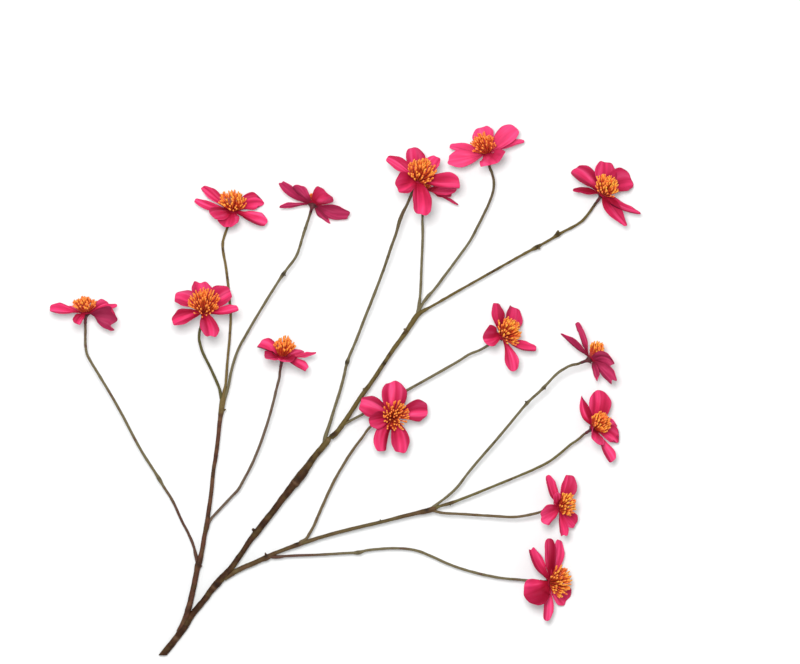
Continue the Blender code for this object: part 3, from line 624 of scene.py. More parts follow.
maroon, tree, shader = new_material('maroon_plastic')
where = place_on(tree)
streaks = spread(tree, mottle(tree, where, 260), 0.35, 0.65)
colour = blend_colours(tree, streaks, (0.050, 0.009, 0.012, 1), (0.120, 0.024, 0.030, 1))
tree.links.new(colour, shader.inputs['Base Color'])
shader.inputs['Roughness'].default_value = 0.55
shader.inputs['Specular IOR Level'].default_value = 0.2
bumped(tree, shader, mottle(tree, where, 1100, 2), 0.4, 0.2)
calyx_pattern.data.materials.clear()
calyx_pattern.data.materials.append(maroon)

for number in HEADS:
    calyx = own_copy(calyx_pattern)
    calyx.name = calyx.data.name = f"moulded_calyx_{number:02d}"
    calyx.data.transform(placed(flower_centre(number), stalk_axis(number))
                         @ Matrix.Rotation(0.7 * number, 4, 'Z'))
    part_of_spray(calyx, f"calyx_{number:02d}")
bpy.data.objects.remove(calyx_pattern)

# ------------------------------------------------------------
# The petals.  A head's petals are cut from one kind of soft cloth, dyed from deep red at the
# root to hot pink, pressed into lengthwise pleats, and stacked on a small disc on the calyx.
# Their undersides are duller.  Shade in their pleats and folds and near their roots, and highlights on
# fold crests, are painted into the cloth's colour, and some petals carry painted shade or a painted
# highlight all over.
# ------------------------------------------------------------
CLOTH = 0.35             # thickness
ROOT_RADIUS = 3.0        # where a petal starts, out from the flower's axis
DISC_RADIUS = 4.3        # of the disc that the petals are stacked on
DISC_RISE = 0.3          # its height as a share of its radius


def petal(x, y, z, wide, face=None, bend=0.0, arch=0.0, cup=16.0, notch=0.0, tip_wide=0.82,
          belly=0.72, blunt=0.13, slim=1.0, folds=(), curl=0.0, lobes=0.0, deep=0.0, over=False):
    """One petal: where its tip is from the flower's centre, how wide it is and how it turns.

    face: angle from its inner side to straight up; bend and arch: its middle moved left and up;
    cup: half the angle its width is rolled through; belly: where it is widest; folds: each one's
    place across, from -1 to 1, and its degrees; curl: how far the tip turns back; lobes: waves of
    the tip's edge; deep: how much painted shade darkens it, or, below zero, how much painted highlight
    lightens it; over: it has turned right over, so that its inner side shows.
    """
    return dict(tip=Vector((x, y, z)), wide=wide, face=face, bend=bend, arch=arch, cup=cup,
                notch=notch, tip_wide=tip_wide, belly=belly, blunt=blunt, slim=slim,
                folds=tuple(zip(folds[::2], folds[1::2])), curl=curl, lobes=lobes, deep=deep,
                over=over)


PETALS = {
    1: (petal(-30, 5, 2, 15, 38, belly=0.88, slim=3, folds=(-0.4, 25)), petal(-18, 7, -20, 14),
        petal(-5.4, -10, 16, 8.5, arch=4, bend=-0.6, cup=30, slim=0.6, folds=(0.3, 40)),
        petal(21, 6.5, -10, 15, 30, folds=(-0.3, 30)), petal(26.9, 7.3, -4, 8, 40),
        petal(27, -8.4, 6, 19, 140, belly=0.85, slim=1.4, folds=(0.3, 50), curl=2, lobes=0.1)),
    2: (petal(-26.3, 21.3, -4, 10, 42, bend=0.5, belly=0.8, folds=(0.3, 35)),
        petal(-32.5, 9.6, 2, 9, 32, bend=2),
        petal(-17.5, -4, 16, 17, 30, folds=(0.35, -35), deep=0.2),
        petal(-3.2, -14, 20, 19, 25, notch=0.1, lobes=0.02, folds=(0.4, 30)),
        petal(28.7, -11, 8, 17, 20, belly=0.88, slim=1.6, folds=(0.15, 60), lobes=0.01),
        petal(26.8, 6.8, -6, 16.5, 32, bend=3.5, tip_wide=0.5, folds=(-0.6, 40))),
    3: (petal(-27.5, 19, 4, 10, 150, bend=2, lobes=0.02),
        petal(-15.5, 16.3, 10, 12, 150, folds=(0.2, 30)), petal(-29, -1.7, -2, 6, 135),
        petal(14, 9.5, 14, 20, 158, cup=20, belly=0.7, blunt=0.14, slim=0.7,
              folds=(0.3, 20, -0.4, 20), deep=0.25, over=True),
        petal(31, -8.6, -4, 13, 145, bend=-2.4, lobes=0.03, folds=(0.1, 30)),
        petal(14.6, -15.5, -14, 9, 130, bend=-1.3, tip_wide=0.3)),
    4: (petal(-3.4, 26.5, -12, 19.5, 25, notch=0.05, lobes=0.01, folds=(0.4, 20, -0.5, 20)),
        petal(-25.4, 13, -6, 20, 30, bend=-3, folds=(0.45, -25, -0.3, 20)),
        petal(-26.2, -9.4, 6, 14, 34, folds=(0.45, 55, -0.2, 25)),
        petal(6.7, -21.5, 14, 18, 20, bend=1, notch=0.04, lobes=0.02, deep=0.1,
              folds=(0.2, 30, -0.4, -25)), petal(29.2, 3.4, 5, 12, 37, bend=-1.8, folds=(0.5, 50)),
        petal(22.4, 18, -8, 18, 20, bend=1.3, folds=(-0.1, 35, 0.5, 25), lobes=0.01)),
    5: (petal(-21, 11.6, -3, 18, 30, bend=-2, folds=(-0.2, 60), lobes=0.02, deep=0.05),
        petal(-11, 0, 18, 18, slim=0.7, folds=(0.3, 30), lobes=0.02, deep=0.05),
        petal(5.6, -2.6, 20, 16, slim=0.7, folds=(-0.3, 35), lobes=0.02, deep=0.05),
        petal(21.3, -9.8, 8, 13.5, 40, folds=(0.3, 50), lobes=0.02),
        petal(28.4, 4.7, -2, 8, 68, bend=-1.5), petal(17.2, 6, -16, 11, 50, deep=0.15),
        petal(-9, 3, -22, 14)),
    6: (petal(-26.7, 19.5, -2, 12, 38, bend=-1, slim=1.3, folds=(0.4, 40)),
        petal(-3.6, 29.2, -14, 18, 25, lobes=0.01, deep=0.2, folds=(0.3, 25)),
        petal(16.6, 20.6, -8, 13.5, 20, lobes=0.01),
        petal(35.4, -2.4, 2, 18, 30, bend=-0.4, blunt=0.08, tip_wide=0.9,
              folds=(0.35, 55, -0.2, 25)),
        petal(3, -29.8, 14, 17, 20, bend=0.8, notch=0.04, slim=0.8, blunt=0.05, belly=0.65,
              tip_wide=0.95, folds=(-0.45, 25, 0.5, 30)),
        petal(-18.2, -6, 10, 19, 15, notch=0.1, folds=(0.1, 40, -0.5, 30), lobes=0.02)),
    7: (petal(-4.5, 25, -16, 19.5, folds=(0.3, 25), deep=-0.3),
        petal(25.5, 22.8, -2, 17, 28, bend=1, tip_wide=0.95, folds=(-0.4, 30), deep=-0.3),
        petal(31.8, 12.5, -8, 11.5, 36, bend=1.2, folds=(0.2, 30), lobes=0.02, deep=-0.3),
        petal(5.3, -7.6, 20, 24, bend=0.4, notch=0.1, blunt=0, tip_wide=1, belly=0.9,
              folds=(-0.2, 30), deep=-0.15), petal(-32, 8, -6, 10, 44, folds=(0.2, 30), deep=-0.3),
        petal(-33.5, -5.8, 5, 14.5, 30, bend=0.5, slim=1.3, folds=(-0.3, -25, 0.3, 30), lobes=0.02,
              deep=-0.3)),
    8: (petal(-24.7, 21.7, -2, 23, 23, bend=-2, folds=(0.3, -30, -0.3, 45), lobes=0.03, deep=0.12),
        petal(4.2, 29, -12, 19.5, 20, folds=(0.3, 30), lobes=0.01, deep=0.1),
        petal(26.9, 12.6, -10, 23, 30, bend=3, folds=(-0.2, 35, 0.4, 20), lobes=0.01, deep=0.1),
        petal(-25.4, 4, 6, 6.5, 58, bend=0.7, folds=(0.2, 50), deep=0.3),
        petal(32.7, -15.8, 2, 13, 40, bend=-2.6, slim=0.5, belly=0.3, tip_wide=0.4, folds=(0.3, 40),
              deep=0.15),
        petal(19.8, -27, 10, 13.5, 30, bend=-1.6, tip_wide=0.35, belly=0.25, slim=0.5, blunt=0.05,
              folds=(-0.3, 35), deep=0.1)),
    9: (petal(-4.8, 28.6, -2, 10, 34, bend=1, folds=(0.3, 50), deep=0.2),
        petal(12, 25.4, -12, 20, 30, bend=-2, folds=(-0.3, 30, 0.4, 25), lobes=0.01, deep=0.1),
        petal(-15.3, -1.5, 12, 17, 25, notch=0.04, folds=(0.1, 45), deep=0.05),
        petal(9.9, -30, 6, 12, 20, bend=1.5, belly=0.8, slim=2, tip_wide=0.92, folds=(0.3, -30),
              deep=0.05),
        petal(29.7, -9.7, -4, 12, 30, bend=-2.5, slim=1.2, folds=(0.3, 45), deep=0.1),
        petal(13, 11, -20, 14)),
    10: (petal(-25.4, 22.4, 0, 11, 137, tip_wide=0.4, belly=0.55, slim=0.6, folds=(0.1, 35),
               deep=0.1),
         petal(-11.2, 31.4, -6, 9.5, 135, belly=0.8, tip_wide=0.95, folds=(0.3, 30), deep=-0.1),
         petal(18, -5, 10, 20, 145, bend=3.5, arch=1, slim=0.6, folds=(0.2, -35, -0.4, 30),
               lobes=0.03, deep=-0.1),
         petal(20.4, -20, 4, 14, 150, bend=0.8, notch=0.1, slim=0.7, belly=0.8, folds=(-0.3, 35),
               lobes=0.02, deep=-0.1),
         petal(6, -19, -4, 9, 130, tip_wide=0.15, belly=0.45, slim=0.6), petal(10, 8, -22, 14)),
    11: (petal(4.6, 32.2, -4, 19.5, 25, bend=-2, folds=(0.25, 35), lobes=0.01),
         petal(-10.3, 27.5, 4, 8.5, 25, bend=2.3, tip_wide=0.05, belly=0.45, blunt=0.02,
               folds=(0.2, 60)), petal(0.4, -10.3, 18, 18.5, bend=2.2, folds=(0.5, 25), deep=0.1),
         petal(16.4, -28, 6, 12.5, 25, belly=0.85, slim=2, tip_wide=0.95, blunt=0.08,
               folds=(0.2, 45)), petal(19.9, 5.2, -16, 15, 25, folds=(0.3, 25)),
         petal(21.9, -13, -8, 15, 30, bend=3, tip_wide=0.25, folds=(-0.2, 30), deep=0.1)),
    12: (petal(-9.2, 27.5, 4, 12, 35, bend=1, slim=0.6, folds=(-0.4, 30), deep=-0.05),
         petal(10, 27.5, -6, 12.5, 34, bend=-1.7, folds=(0, 45)),
         petal(-16, -8.2, 14, 19.5, 25, notch=0.08, folds=(0.1, 20), deep=-0.05),
         petal(4.7, -24.6, 6, 11.5, 30, notch=0.06, tip_wide=0.95, slim=1.8, folds=(0.3, 35)),
         petal(15.2, -16.6, -12, 13, 30, folds=(-0.2, 30)), petal(10, 2, -22, 14),
         petal(-3.5, 12, 15, 10, 40, deep=0.1)),
    13: (petal(-15.5, 30.5, 4, 15, 32, bend=2.2, notch=0.05, tip_wide=0.75, folds=(-0.2, 40)),
         petal(0.4, 37.8, 0, 11.5, 38, cup=35, belly=0.92, tip_wide=0.95, slim=0.8, folds=(0.1, 60),
               deep=0.1), petal(8.8, 36.5, -10, 11.5, 28, bend=-2, deep=-0.1),
         petal(-20.8, -8.8, 14, 24, 20, bend=1.2, belly=0.85, blunt=0.02, tip_wide=0.9,
               folds=(-0.1, 60)),
         petal(-2.6, -32.2, 6, 11, 24, belly=0.85, tip_wide=0.95, folds=(0.2, 30), deep=-0.05),
         petal(15.8, -18, -12, 17, 35, folds=(-0.2, 40))),
    14: (petal(1.3, 30, -1, 23, notch=-0.04, blunt=0.08, slim=0.7,
               folds=(0.15, 30, 0.55, -45, -0.4, 25), lobes=0.02, deep=0.05),
         petal(30, 6, -3, 18.5, bend=1.5, belly=0.8, slim=1.5, folds=(-0.15, 45, 0.5, -40),
               deep=0.05),
         petal(7.2, -30.5, 1, 17.5, bend=1.5, folds=(-0.5, -30, 0.3, 25), lobes=0.01, deep=0.05),
         petal(-9.5, -29.2, 2, 14.5, bend=-3.7, cup=30, slim=0.6, folds=(-0.25, 60), deep=0.1),
         petal(-19.8, -3.5, 10, 15, deep=0.35, folds=(0.2, 30)),
         petal(-28.4, 12.5, 1, 20, bend=-1, slim=1.2, folds=(0.35, -45, -0.3, 25), lobes=0.01,
               deep=0.05)),
    15: (petal(23.2, -2.6, -2, 16, 35, belly=0.55, slim=0.5, folds=(0.2, 30), deep=0.25),
         petal(29.2, -11.6, -6, 5, 60, deep=0.4), petal(27, 1.5, 4, 13, 30, slim=0.5, deep=0.2),
         petal(-15, 5, -2, 12), petal(-2, 20, -10, 12), petal(3, 4, -14, 12)),
}

# Dyed cloth with painted light: the dye runs from root to tip along the petal, with fine veins and soft
# patches; painted shade and painted highlights run in streaks along the pleats, and the mesh's layers
# add painted shade in folds, pleats and near the root and painted highlights on fold crests.  The height
# is the weave and the veins.
cloth, given, result = new_group('dyed_and_shaded_cloth', (
    ('Root', COLOUR, (0.4, 0.01, 0.03, 1)), ('Middle', COLOUR, (0.7, 0.02, 0.1, 1)),
    ('Tip', COLOUR, (0.9, 0.05, 0.2, 1)), ('Light', COLOUR, (0.9, 0.05, 0.2, 1)),
    ('Pleat', COLOUR, (0.25, 0.005, 0.03, 1)), ('Veins', NUMBER, 0.3)),
    (('Colour', COLOUR), ('Height', NUMBER)))
petal_map = cloth.nodes.new('ShaderNodeUVMap')
petal_map.uv_map = 'UVMap'
apart = cloth.nodes.new('ShaderNodeSeparateXYZ')
cloth.links.new(petal_map.outputs['UV'], apart.inputs[0])


def drawn_out(across, along):
    """The petal's map, stretched so that a pattern on it runs from root to tip."""
    stretch = cloth.nodes.new('ShaderNodeMapping')
    stretch.inputs['Scale'].default_value = (across, along, 1)
    cloth.links.new(petal_map.outputs['UV'], stretch.inputs['Vector'])
    return stretch.outputs['Vector']


veins = mottle(cloth, drawn_out(26, 1.6), 1.0, 2)
streaks = mottle(cloth, drawn_out(4, 0.9), 1.0, 1)
where = place_on(cloth)
patches = mottle(cloth, where, 130, 2)
weave = mottle(cloth, where, 2600, 1)
unevenness = maths(cloth, 'MULTIPLY', maths(cloth, 'SUBTRACT', patches, 0.5), 0.4)
length = maths(cloth, 'ADD', apart.outputs['Y'], unevenness)
lit = maths(cloth, 'MULTIPLY', spread(cloth, streaks, 0.50, 0.66), spread(cloth, length, 0.12, 0.5))
colour = given.outputs['Root']
for mask, tone in (
        (spread(cloth, length, 0.02, 0.36), 'Middle'),
        (spread(cloth, length, 0.28, 0.80), 'Tip'),
        # painted highlight: the lighter streaks along the pleats take the highlight colour
        (maths(cloth, 'MULTIPLY', lit, 0.75), 'Light'),
        # painted shade: the darker streaks along the pleats take the dark pleat shade colour
        (maths(cloth, 'MULTIPLY', spread(cloth, streaks, 0.46, 0.30), 0.45), 'Pleat'),
        (maths(cloth, 'MULTIPLY', spread(cloth, veins, 0.5, 0.72), given.outputs['Veins']), 'Middle'),
        # painted highlight from the mesh's layer, on fold crests and on petals set paler
        (layer_value(cloth, 'painted_highlight'), 'Light'),
        # painted shade from the mesh's 'pleat' layer, in folds, pleat hollows, near the root and on petals
        # set darker
        (layer_value(cloth, 'pleat'), 'Pleat')):
    colour = blend_colours(cloth, mask, colour, given.outputs[tone])
height = maths(cloth, 'ADD', maths(cloth, 'MULTIPLY', weave, 0.35), veins)
cloth.links.new(colour, result.inputs['Colour'])
cloth.links.new(height, result.inputs['Height'])


def dyed_and_shaded_cloth(name, veins, **tones):
    """One side of the petals: its dye, with painted shade and painted highlights."""
    material, tree, shader = new_material(name)
    cut = tree.nodes.new('ShaderNodeGroup')
    cut.node_tree = cloth
    for socket, tone in tones.items():
        cut.inputs[socket].default_value = (*tone, 1)
    cut.inputs['Veins'].default_value = veins
    tree.links.new(cut.outputs['Colour'], shader.inputs['Base Color'])
    shader.inputs['Roughness'].default_value = 0.65
    shader.inputs['Specular IOR Level'].default_value = 0.07
    bumped(tree, shader, cut.outputs['Height'], 0.35, 0.3)
    return material


petal_face = dyed_and_shaded_cloth(
    'petal_face', 0.45, Root=(0.36, 0.004, 0.018), Middle=(0.60, 0.018, 0.080),
    Tip=(0.76, 0.038, 0.148), Light=(0.90, 0.095, 0.260), Pleat=(0.22, 0.002, 0.015))
petal_back = dyed_and_shaded_cloth(
    'petal_back', 0.8, Root=(0.20, 0.006, 0.028), Middle=(0.33, 0.014, 0.062),
    Tip=(0.44, 0.026, 0.095), Light=(0.58, 0.055, 0.150), Pleat=(0.12, 0.004, 0.020))


def flower_axis(number):
    return axis_of(HEADS[number][1], HEADS[number][2])


def square_to(vector, along):
    return (vector - along * vector.dot(along)).normalized()


def smooth(value):
    value = min(1.0, max(0.0, value))
    return value * value * (3 - 2 * value)


def bowed(start, control, end, share):
    """A point on a bowed line from start to end, and the line's heading there."""
    spot = start * (1 - share) ** 2 + control * 2 * share * (1 - share) + end * share * share
    ahead = ((control - start) * (1 - share) + (end - control) * share).normalized()
    return spot, ahead


ACROSS, ALONG = 24, 30       # cells of a petal
RIB = ACROSS // 2
# LINE_WIDTH is the width of the painted shade line along a fold turned one way, and of the painted
# highlight line along a fold turned the other.
FOLD_WIDTH, LINE_WIDTH = 0.22, 0.10      # of a fold and its line, as shares of half the petal
PLEATS, PLEAT_TURN = 1.5, 0.22           # half waves of pleats a side, and their turn in radians


def cross_section(shape, along, phase):
    """Directions across a petal from edge to edge, how much painted shade each place gets in a pleat's
    hollow and beyond a fold's crease, and how much painted highlight near the top of a fold."""
    opened = smooth(along / 0.3)
    turns, pleat_shades, crest_highlights = [], [], []
    for k in range(ACROSS + 1):
        side = 2 * k / ACROSS - 1
        turn = math.radians(shape["cup"]) * side
        depth = crest_highlight = 0.0
        for place, degrees in shape["folds"]:
            past = (side - place) if place >= 0 else (place - side)
            share = smooth(past / FOLD_WIDTH + 0.5) * opened
            turn += math.radians(degrees) * share * (1 if place >= 0 else -1)
            depth = max(depth, share * min(1.0, abs(degrees) / 60))
            line = math.exp(-(past / LINE_WIDTH) ** 2) * opened * min(1.0, abs(degrees) / 40)
            if degrees > 0:
                depth = max(depth, 0.9 * line)
            else:
                crest_highlight = max(crest_highlight, 0.6 * line)
        pleat = PLEATS * math.pi * side + phase
        turn += PLEAT_TURN * math.sin(pleat) * opened * (1 - 0.35 * along)
        depth = max(depth, 0.25 * max(0.0, -math.cos(pleat)) ** 2 * opened)
        turns.append(turn)
        pleat_shades.append(depth)
        crest_highlights.append(crest_highlight)
    return turns, pleat_shades, crest_highlights


def laid_out(turns):
    """How far out and up each place across a petal is, laid out from its rib by its directions.
    Each side keeps its breadth as seen from the front."""
    step = 2 / ACROSS
    out, lift = [0.0] * (ACROSS + 1), [0.0] * (ACROSS + 1)
    for way in (1, -1):
        for k in range(1, RIB + 1):
            here = RIB + way * k
            turn = (turns[here] + turns[here - way]) / 2
            out[here] = out[here - way] + way * step * math.cos(turn)
            lift[here] = lift[here - way] + way * step * math.sin(turn)
        breadth = min(1.6, 0.985 / max(0.3, abs(out[RIB + way * RIB])))
        for k in range(1, RIB + 1):
            out[RIB + way * k] *= breadth
            lift[RIB + way * k] *= breadth
    level = sum(lift) / len(lift)
    return out, [height - level for height in lift]


def shortfall(shape, side, flutter):
    """How much shorter than its rib a petal is at a place across its tip."""
    blunt = shape["blunt"] * abs(side) ** 2.5
    notch = shape["notch"] * math.exp(-(side / 0.3) ** 2)
    waves = (shape["lobes"] + 0.008) * math.sin(4.5 * side + flutter)
    rounded = 0.07 * max(0.0, (abs(side) - 0.55) / 0.45) ** 2
    return blunt + notch + waves + rounded


def width_at(shape, along):
    """How wide a petal is at a place along it, as a share of its widest."""
    belly = shape["belly"]
    if along < belly:
        return 0.28 + 0.72 * math.sin(math.pi / 2 * along / belly) ** shape["slim"]
    past = (along - belly) / (1 - belly)
    return 1 - (1 - shape["tip_wide"]) * past * past


def roll_to_face(shape, flat, chord, axis):
    """How far a petal is rolled about its chord, so that its inner side faces as it should."""
    if shape["face"] is None:
        return 0.0
    up = square_to(Vector((0, 0, 1)), chord)
    lean = chord.cross(up)
    if lean.dot(axis) < 0:
        lean = -lean
    angle = math.radians(shape["face"])
    wanted = up * math.cos(angle) + lean * math.sin(angle)
    return math.atan2(flat.cross(wanted).dot(chord), flat.dot(wanted))


def bent_at_surface(height):
    """A petal that reaches the surface bends, from 2 mm up, to lie 0.3 mm above it."""
    return 0.3 + 1.7 * math.exp((height - 2.0) / 1.7) if height < 2.0 else height


def cloth_petal(number, index, shape):
    """One petal: a grid laid along its rib, pleated and folded, then given its thickness."""
    chance = random.Random(100 * number + index)
    phase, flutter = chance.uniform(0, 6.28), chance.uniform(0, 6.28)
    ripple = chance.uniform(0.3, 0.9)
    centre, axis, tip = flower_centre(number), flower_axis(number), shape["tip"]
    root = square_to(tip, axis) * ROOT_RADIUS
    chord = (tip - root).normalized()
    left = Vector((-chord.y, chord.x, 0.0)).normalized()
    control = (root + tip) / 2 + left * 2 * shape["bend"] + Vector((0, 0, 2 * shape["arch"]))
    flat = square_to(axis, chord)
    roll = roll_to_face(shape, flat, chord, axis)

    nothing_selected()
    bpy.ops.mesh.primitive_grid_add(x_subdivisions=ACROSS, y_subdivisions=ALONG, size=1,
                                    location=(0, 0, 0))
    sheet = bpy.context.object
    rows = {}
    for vert in sheet.data.vertices:
        row, column = round((vert.co.y + 0.5) * ALONG), round((vert.co.x + 0.5) * ACROSS)
        rows.setdefault(row, {})[column] = vert
    pleat_shades, highlights = [0.0] * len(sheet.data.vertices), [0.0] * len(sheet.data.vertices)
    for row, verts in rows.items():
        along = row / ALONG
        turns, depth, crest_highlight = cross_section(shape, along, phase)
        out, lift = laid_out(turns)
        half = 0.5 * shape["wide"] * width_at(shape, along)
        back = (shape["curl"] + 0.8) * smooth((along - 0.72) / 0.28) ** 2
        root_shade = 0.3 * (1 - smooth(along / 0.35))
        for column, vert in verts.items():
            side = 2 * column / ACROSS - 1
            at = along * (1 - along * along * shortfall(shape, side, flutter))
            middle, run = bowed(root, control, tip, at)
            upright = square_to(flat, run)
            turn = roll * min(1.0, at / 0.35)
            face = upright * math.cos(turn) + run.cross(upright) * math.sin(turn)
            sideways = run.cross(face)
            wave = ripple * abs(side) ** 3 * math.sin(7.5 * along + flutter + 2 * side)
            wave *= smooth(along / 0.4)
            spot = (centre + middle + sideways * half * out[column]
                    + face * (half * lift[column] + wave - back))
            spot.z = bent_at_surface(spot.z)
            vert.co = spot * MM
            # painted shade in fold and pleat hollows, near the root and on petals set darker; painted
            # highlight on fold crests and on petals set paler
            shade = depth[column] * (1 - 0.4 * along) + shape["deep"] + root_shade
            pleat_shades[vert.index] = min(1.0, max(0.0, shade))
            highlights[vert.index] = max(crest_highlight[column], -shape["deep"])
    float_layer(sheet.data, 'pleat', pleat_shades)
    float_layer(sheet.data, 'painted_highlight', highlights)
    across = chance.uniform(0, 9)          # so that no two petals have the same streaks
    for corner in sheet.data.uv_layers[0].data:
        corner.uv.x += across
    for material in (petal_back, petal_face) if shape["over"] else (petal_face, petal_back):
        sheet.data.materials.append(material)
    thick = sheet.modifiers.new("thick", 'SOLIDIFY')
    thick.thickness, thick.offset = CLOTH * MM, 0
    thick.material_offset = 1
    apply_all(sheet)
    bpy.ops.object.shade_smooth()
    return sheet


def stacking_disc(number):
    """The low dome in the middle of a head that its petals are stacked on."""
    nothing_selected()
    bpy.ops.mesh.primitive_uv_sphere_add(segments=20, ring_count=10, radius=DISC_RADIUS * MM,
                                         location=(0, 0, 0))
    disc = bpy.context.object
    disc.data.transform(placed(flower_centre(number), flower_axis(number))
                        @ Matrix.Diagonal((1, 1, DISC_RISE, 1)))
    # the disc is coloured almost all in the dark crimson that the petals' painted shade uses
    float_layer(disc.data, 'pleat', [0.9] * len(disc.data.vertices))
    float_layer(disc.data, 'painted_highlight', [0.0] * len(disc.data.vertices))
    disc.data.materials.append(petal_face)
    disc.data.materials.append(petal_back)
    bpy.ops.object.shade_smooth()
    return disc


for number, shapes in PETALS.items():
    parts = [cloth_petal(number, index, shape) for index, shape in enumerate(shapes)]
    whorl = merged(parts + [stacking_disc(number)], f"cloth_petals_{number:02d}")
    part_of_spray(whorl, f"petals_{number:02d}")

# ------------------------------------------------------------
# The stamens.  A head has one tuft, moulded in soft plastic: nearly ninety thin filaments that
# stand in the disc and spread into a dome, dark red at the foot and orange at their knobbed tips;
# the dark foot is partly painted shade deep in the tuft, and the light knobs partly a painted highlight.
# ------------------------------------------------------------
FILAMENTS = 88
LONG = 15.0              # length of the filament that is modelled
SPREAD = 76              # degrees that the outermost filaments lean
CLEAR = 22               # degrees that a filament keeps from each petal
EASED = 0.07             # radians that it stands up at a time, until it is clear
FEET_RADIUS = 2.6        # of the ring that the outermost filaments stand on
FOOT_RISE = 1.0          # how far up from the flower's centre they all stand

# Each head's tuft: its height and radius, how yellow it is, and how far it leans in x and y.
TUFTS = {
    1: (12.5, 12, 0.3, -0.3, 1.2), 2: (17, 14, 0.5, -1.2, 1), 3: (10, 7, 0.3, 0, 0),
    4: (17, 16, 0.3, 0.5, 2.3), 5: (17, 10.6, 0.4, 0.9, 0.8), 6: (17.5, 14.6, 0.5, 1.2, 2.4),
    7: (18.5, 12.3, 0.1, -1.2, 0.2), 8: (16.5, 12.6, 0.7, -0.6, 1.8),
    9: (17, 14.4, 0.7, 0.8, 1.5), 10: (15, 7.8, 0.6, -1, 2.8), 11: (15.5, 10.5, 0.5, 0.8, 2.2),
    12: (15.5, 11.6, 0.8, -0.2, 2), 13: (18.5, 15.8, 0.6, 0.7, 1.2),
    14: (15.5, 14.3, 0.4, 1, 0.9), 15: (7.5, 5.5, 0.4, 0, 0),
}

stamen, tree, shader = new_material('stamen_plastic')
# The ramp runs from foot to tip; its deep red foot is partly painted shade between the filaments, and its
# light tip partly a painted highlight on the knobs.
ramp = tree.nodes.new('ShaderNodeValToRGB')
stops = ramp.color_ramp.elements
stops[0].position, stops[0].color = 0.0, (0.30, 0.006, 0.010, 1)
stops[1].position, stops[1].color = 1.0, (0.93, 0.228, 0.046, 1)
for position, colour in ((0.42, (0.50, 0.022, 0.014, 1)), (0.70, (0.70, 0.066, 0.018, 1)),
                         (0.87, (0.80, 0.120, 0.024, 1))):
    stop = stops.new(position)
    stop.color = colour
tree.links.new(layer_value(tree, 'along'), ramp.inputs[0])
where = place_on(tree)
by_tip = spread(tree, layer_value(tree, 'along'), 0.7, 0.9)
yellowed = maths(tree, 'MULTIPLY', layer_value(tree, 'tint'), by_tip)
colour = blend_colours(tree, yellowed, ramp.outputs['Color'], (0.94, 0.45, 0.05, 1))
grains = spread(tree, mottle(tree, where, 900, 2), 0.5, 0.85)
colour = blend_colours(tree, grains, colour, (0.92, 0.38, 0.07, 1))
tree.links.new(colour, shader.inputs['Base Color'])
shader.inputs['Roughness'].default_value = 0.5
shader.inputs['Specular IOR Level'].default_value = 0.25
bumped(tree, shader, mottle(tree, where, 2200, 2), 0.4, 0.15)

filament_pattern = turned(6, ((0.38, 0), (0.38, 0.5), (0.34, 2.5), (0.32, 5), (0.31, 7.5),
                              (0.31, 10), (0.34, 12), (0.66, 12.8), (0.78, 13.8), (0.64, 14.7),
                              (0.28, LONG)))
bpy.ops.object.shade_smooth()
filament_pattern.data.materials.append(stamen)

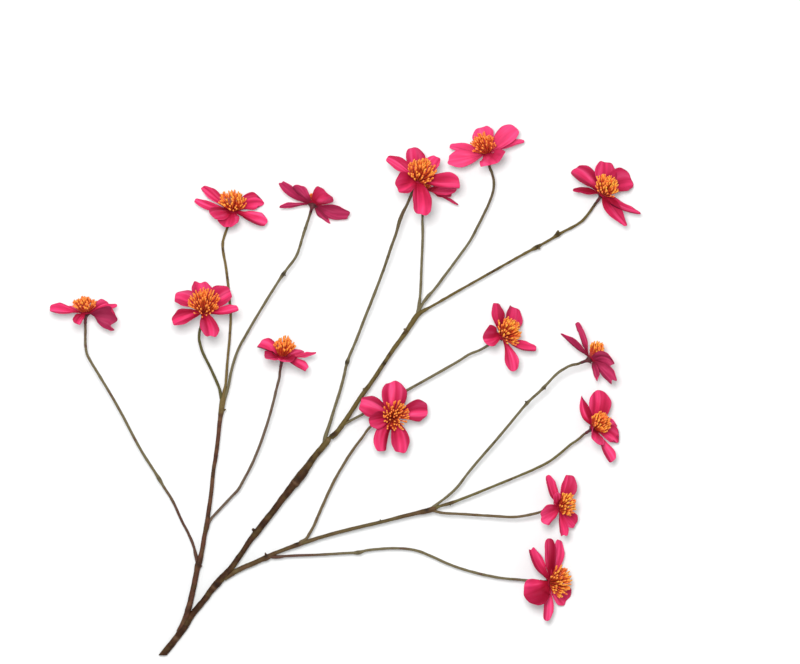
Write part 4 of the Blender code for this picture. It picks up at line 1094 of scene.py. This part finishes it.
for number, (tall, wide, yellow, push_x, push_y) in TUFTS.items():
    chance = random.Random(number)
    axis, centre = flower_axis(number), flower_centre(number)
    turn = axis.to_track_quat('Z', 'Y').to_matrix()
    stout = 0.75 if number == 15 else 1.0
    petal_ways = [shape["tip"].normalized() for shape in PETALS[number]]
    parts = []
    for k in range(FILAMENTS):
        share = (k + 0.5) / FILAMENTS
        around = k * math.pi * (3 - math.sqrt(5)) + chance.uniform(-0.3, 0.3)
        lean = math.radians(SPREAD * share ** 0.6 + chance.uniform(-5, 5))
        # a filament that would run into a petal stands up from it
        while lean > 0.1:
            way = turn @ Vector((wide * math.sin(lean) * math.cos(around),
                                 wide * math.sin(lean) * math.sin(around), tall * math.cos(lean)))
            if min(math.degrees(way.angle(petal_way)) for petal_way in petal_ways) > CLEAR:
                break
            lean -= EASED
        size = chance.uniform(0.84, 1.03)
        out = Vector((math.cos(around), math.sin(around), 0))
        beside = Vector((-math.sin(around), math.cos(around), 0))
        foot = out * (FEET_RADIUS * math.sqrt(share))
        knob = (out * (wide * size * math.sin(lean))
                + Vector((0, 0, tall * size * (0.16 + 0.84 * math.cos(lean)))))
        bow = Vector((*(foot * 0.45 + knob * 0.55).xy, 0.45 * knob.z))
        filament = own_copy(filament_pattern)
        along = []
        for vert in filament.data.vertices:
            x, y, z = vert.co / MM
            run = z / LONG
            middle, ahead = bowed(foot, bow, knob, run)
            around_it = (beside.cross(ahead) * x + beside * y) * stout
            spot = centre + axis * FOOT_RISE + turn @ (middle + around_it)
            spot += Vector((push_x, push_y, 0)) * run * run
            spot.z = max(spot.z, 0.4 + 0.1 * x)
            vert.co = spot * MM
            along.append(run)
        tint = max(0.0, yellow * chance.uniform(-0.4, 1.5))
        float_layer(filament.data, 'along', along)
        float_layer(filament.data, 'tint', [tint] * len(along))
        parts.append(filament)
    tuft = merged(parts, f"stamen_tuft_{number:02d}")
    part_of_spray(tuft, f"stamens_{number:02d}")
bpy.data.objects.remove(filament_pattern)

# ------------------------------------------------------------
# The surface that the spray lies on, the studio's light, and the camera looking straight down.
# ------------------------------------------------------------
bpy.ops.object.select_all(action='DESELECT')
bpy.ops.mesh.primitive_plane_add(size=8, location=(0, 0, -0.2 * MM))
floor = bpy.context.object
floor.name = "floor"
pale, tree, shader = new_material('pale_floor')
shader.inputs['Base Color'].default_value = (0.80, 0.81, 0.81, 1)
shader.inputs['Roughness'].default_value = 0.9
floor.data.materials.append(pale)

world = bpy.data.worlds.new('studio')
bpy.context.scene.world = world
world.use_nodes = True
backdrop = world.node_tree.nodes['Background']
backdrop.inputs['Color'].default_value = (1, 1, 1, 1)
backdrop.inputs['Strength'].default_value = 0.66
bpy.context.scene.view_settings.view_transform = 'Standard'      # colours stay as they are dyed

softbox = bpy.data.lights.new("overhead_softbox", 'AREA')
softbox.energy, softbox.size = 30, 0.5
lamp = bpy.data.objects.new("overhead_softbox", softbox)
lamp.location = (-0.08, 0.32, 1.9)
lamp.rotation_euler = (-lamp.location).to_track_quat('-Z', 'Y').to_euler()
bpy.context.scene.collection.objects.link(lamp)

camera = bpy.data.objects.new("camera", bpy.data.cameras.new("camera"))
camera.data.lens = 135
camera.location = (0.0467, 0.0501, 2.598)
bpy.context.scene.collection.objects.link(camera)
bpy.context.scene.camera = camera
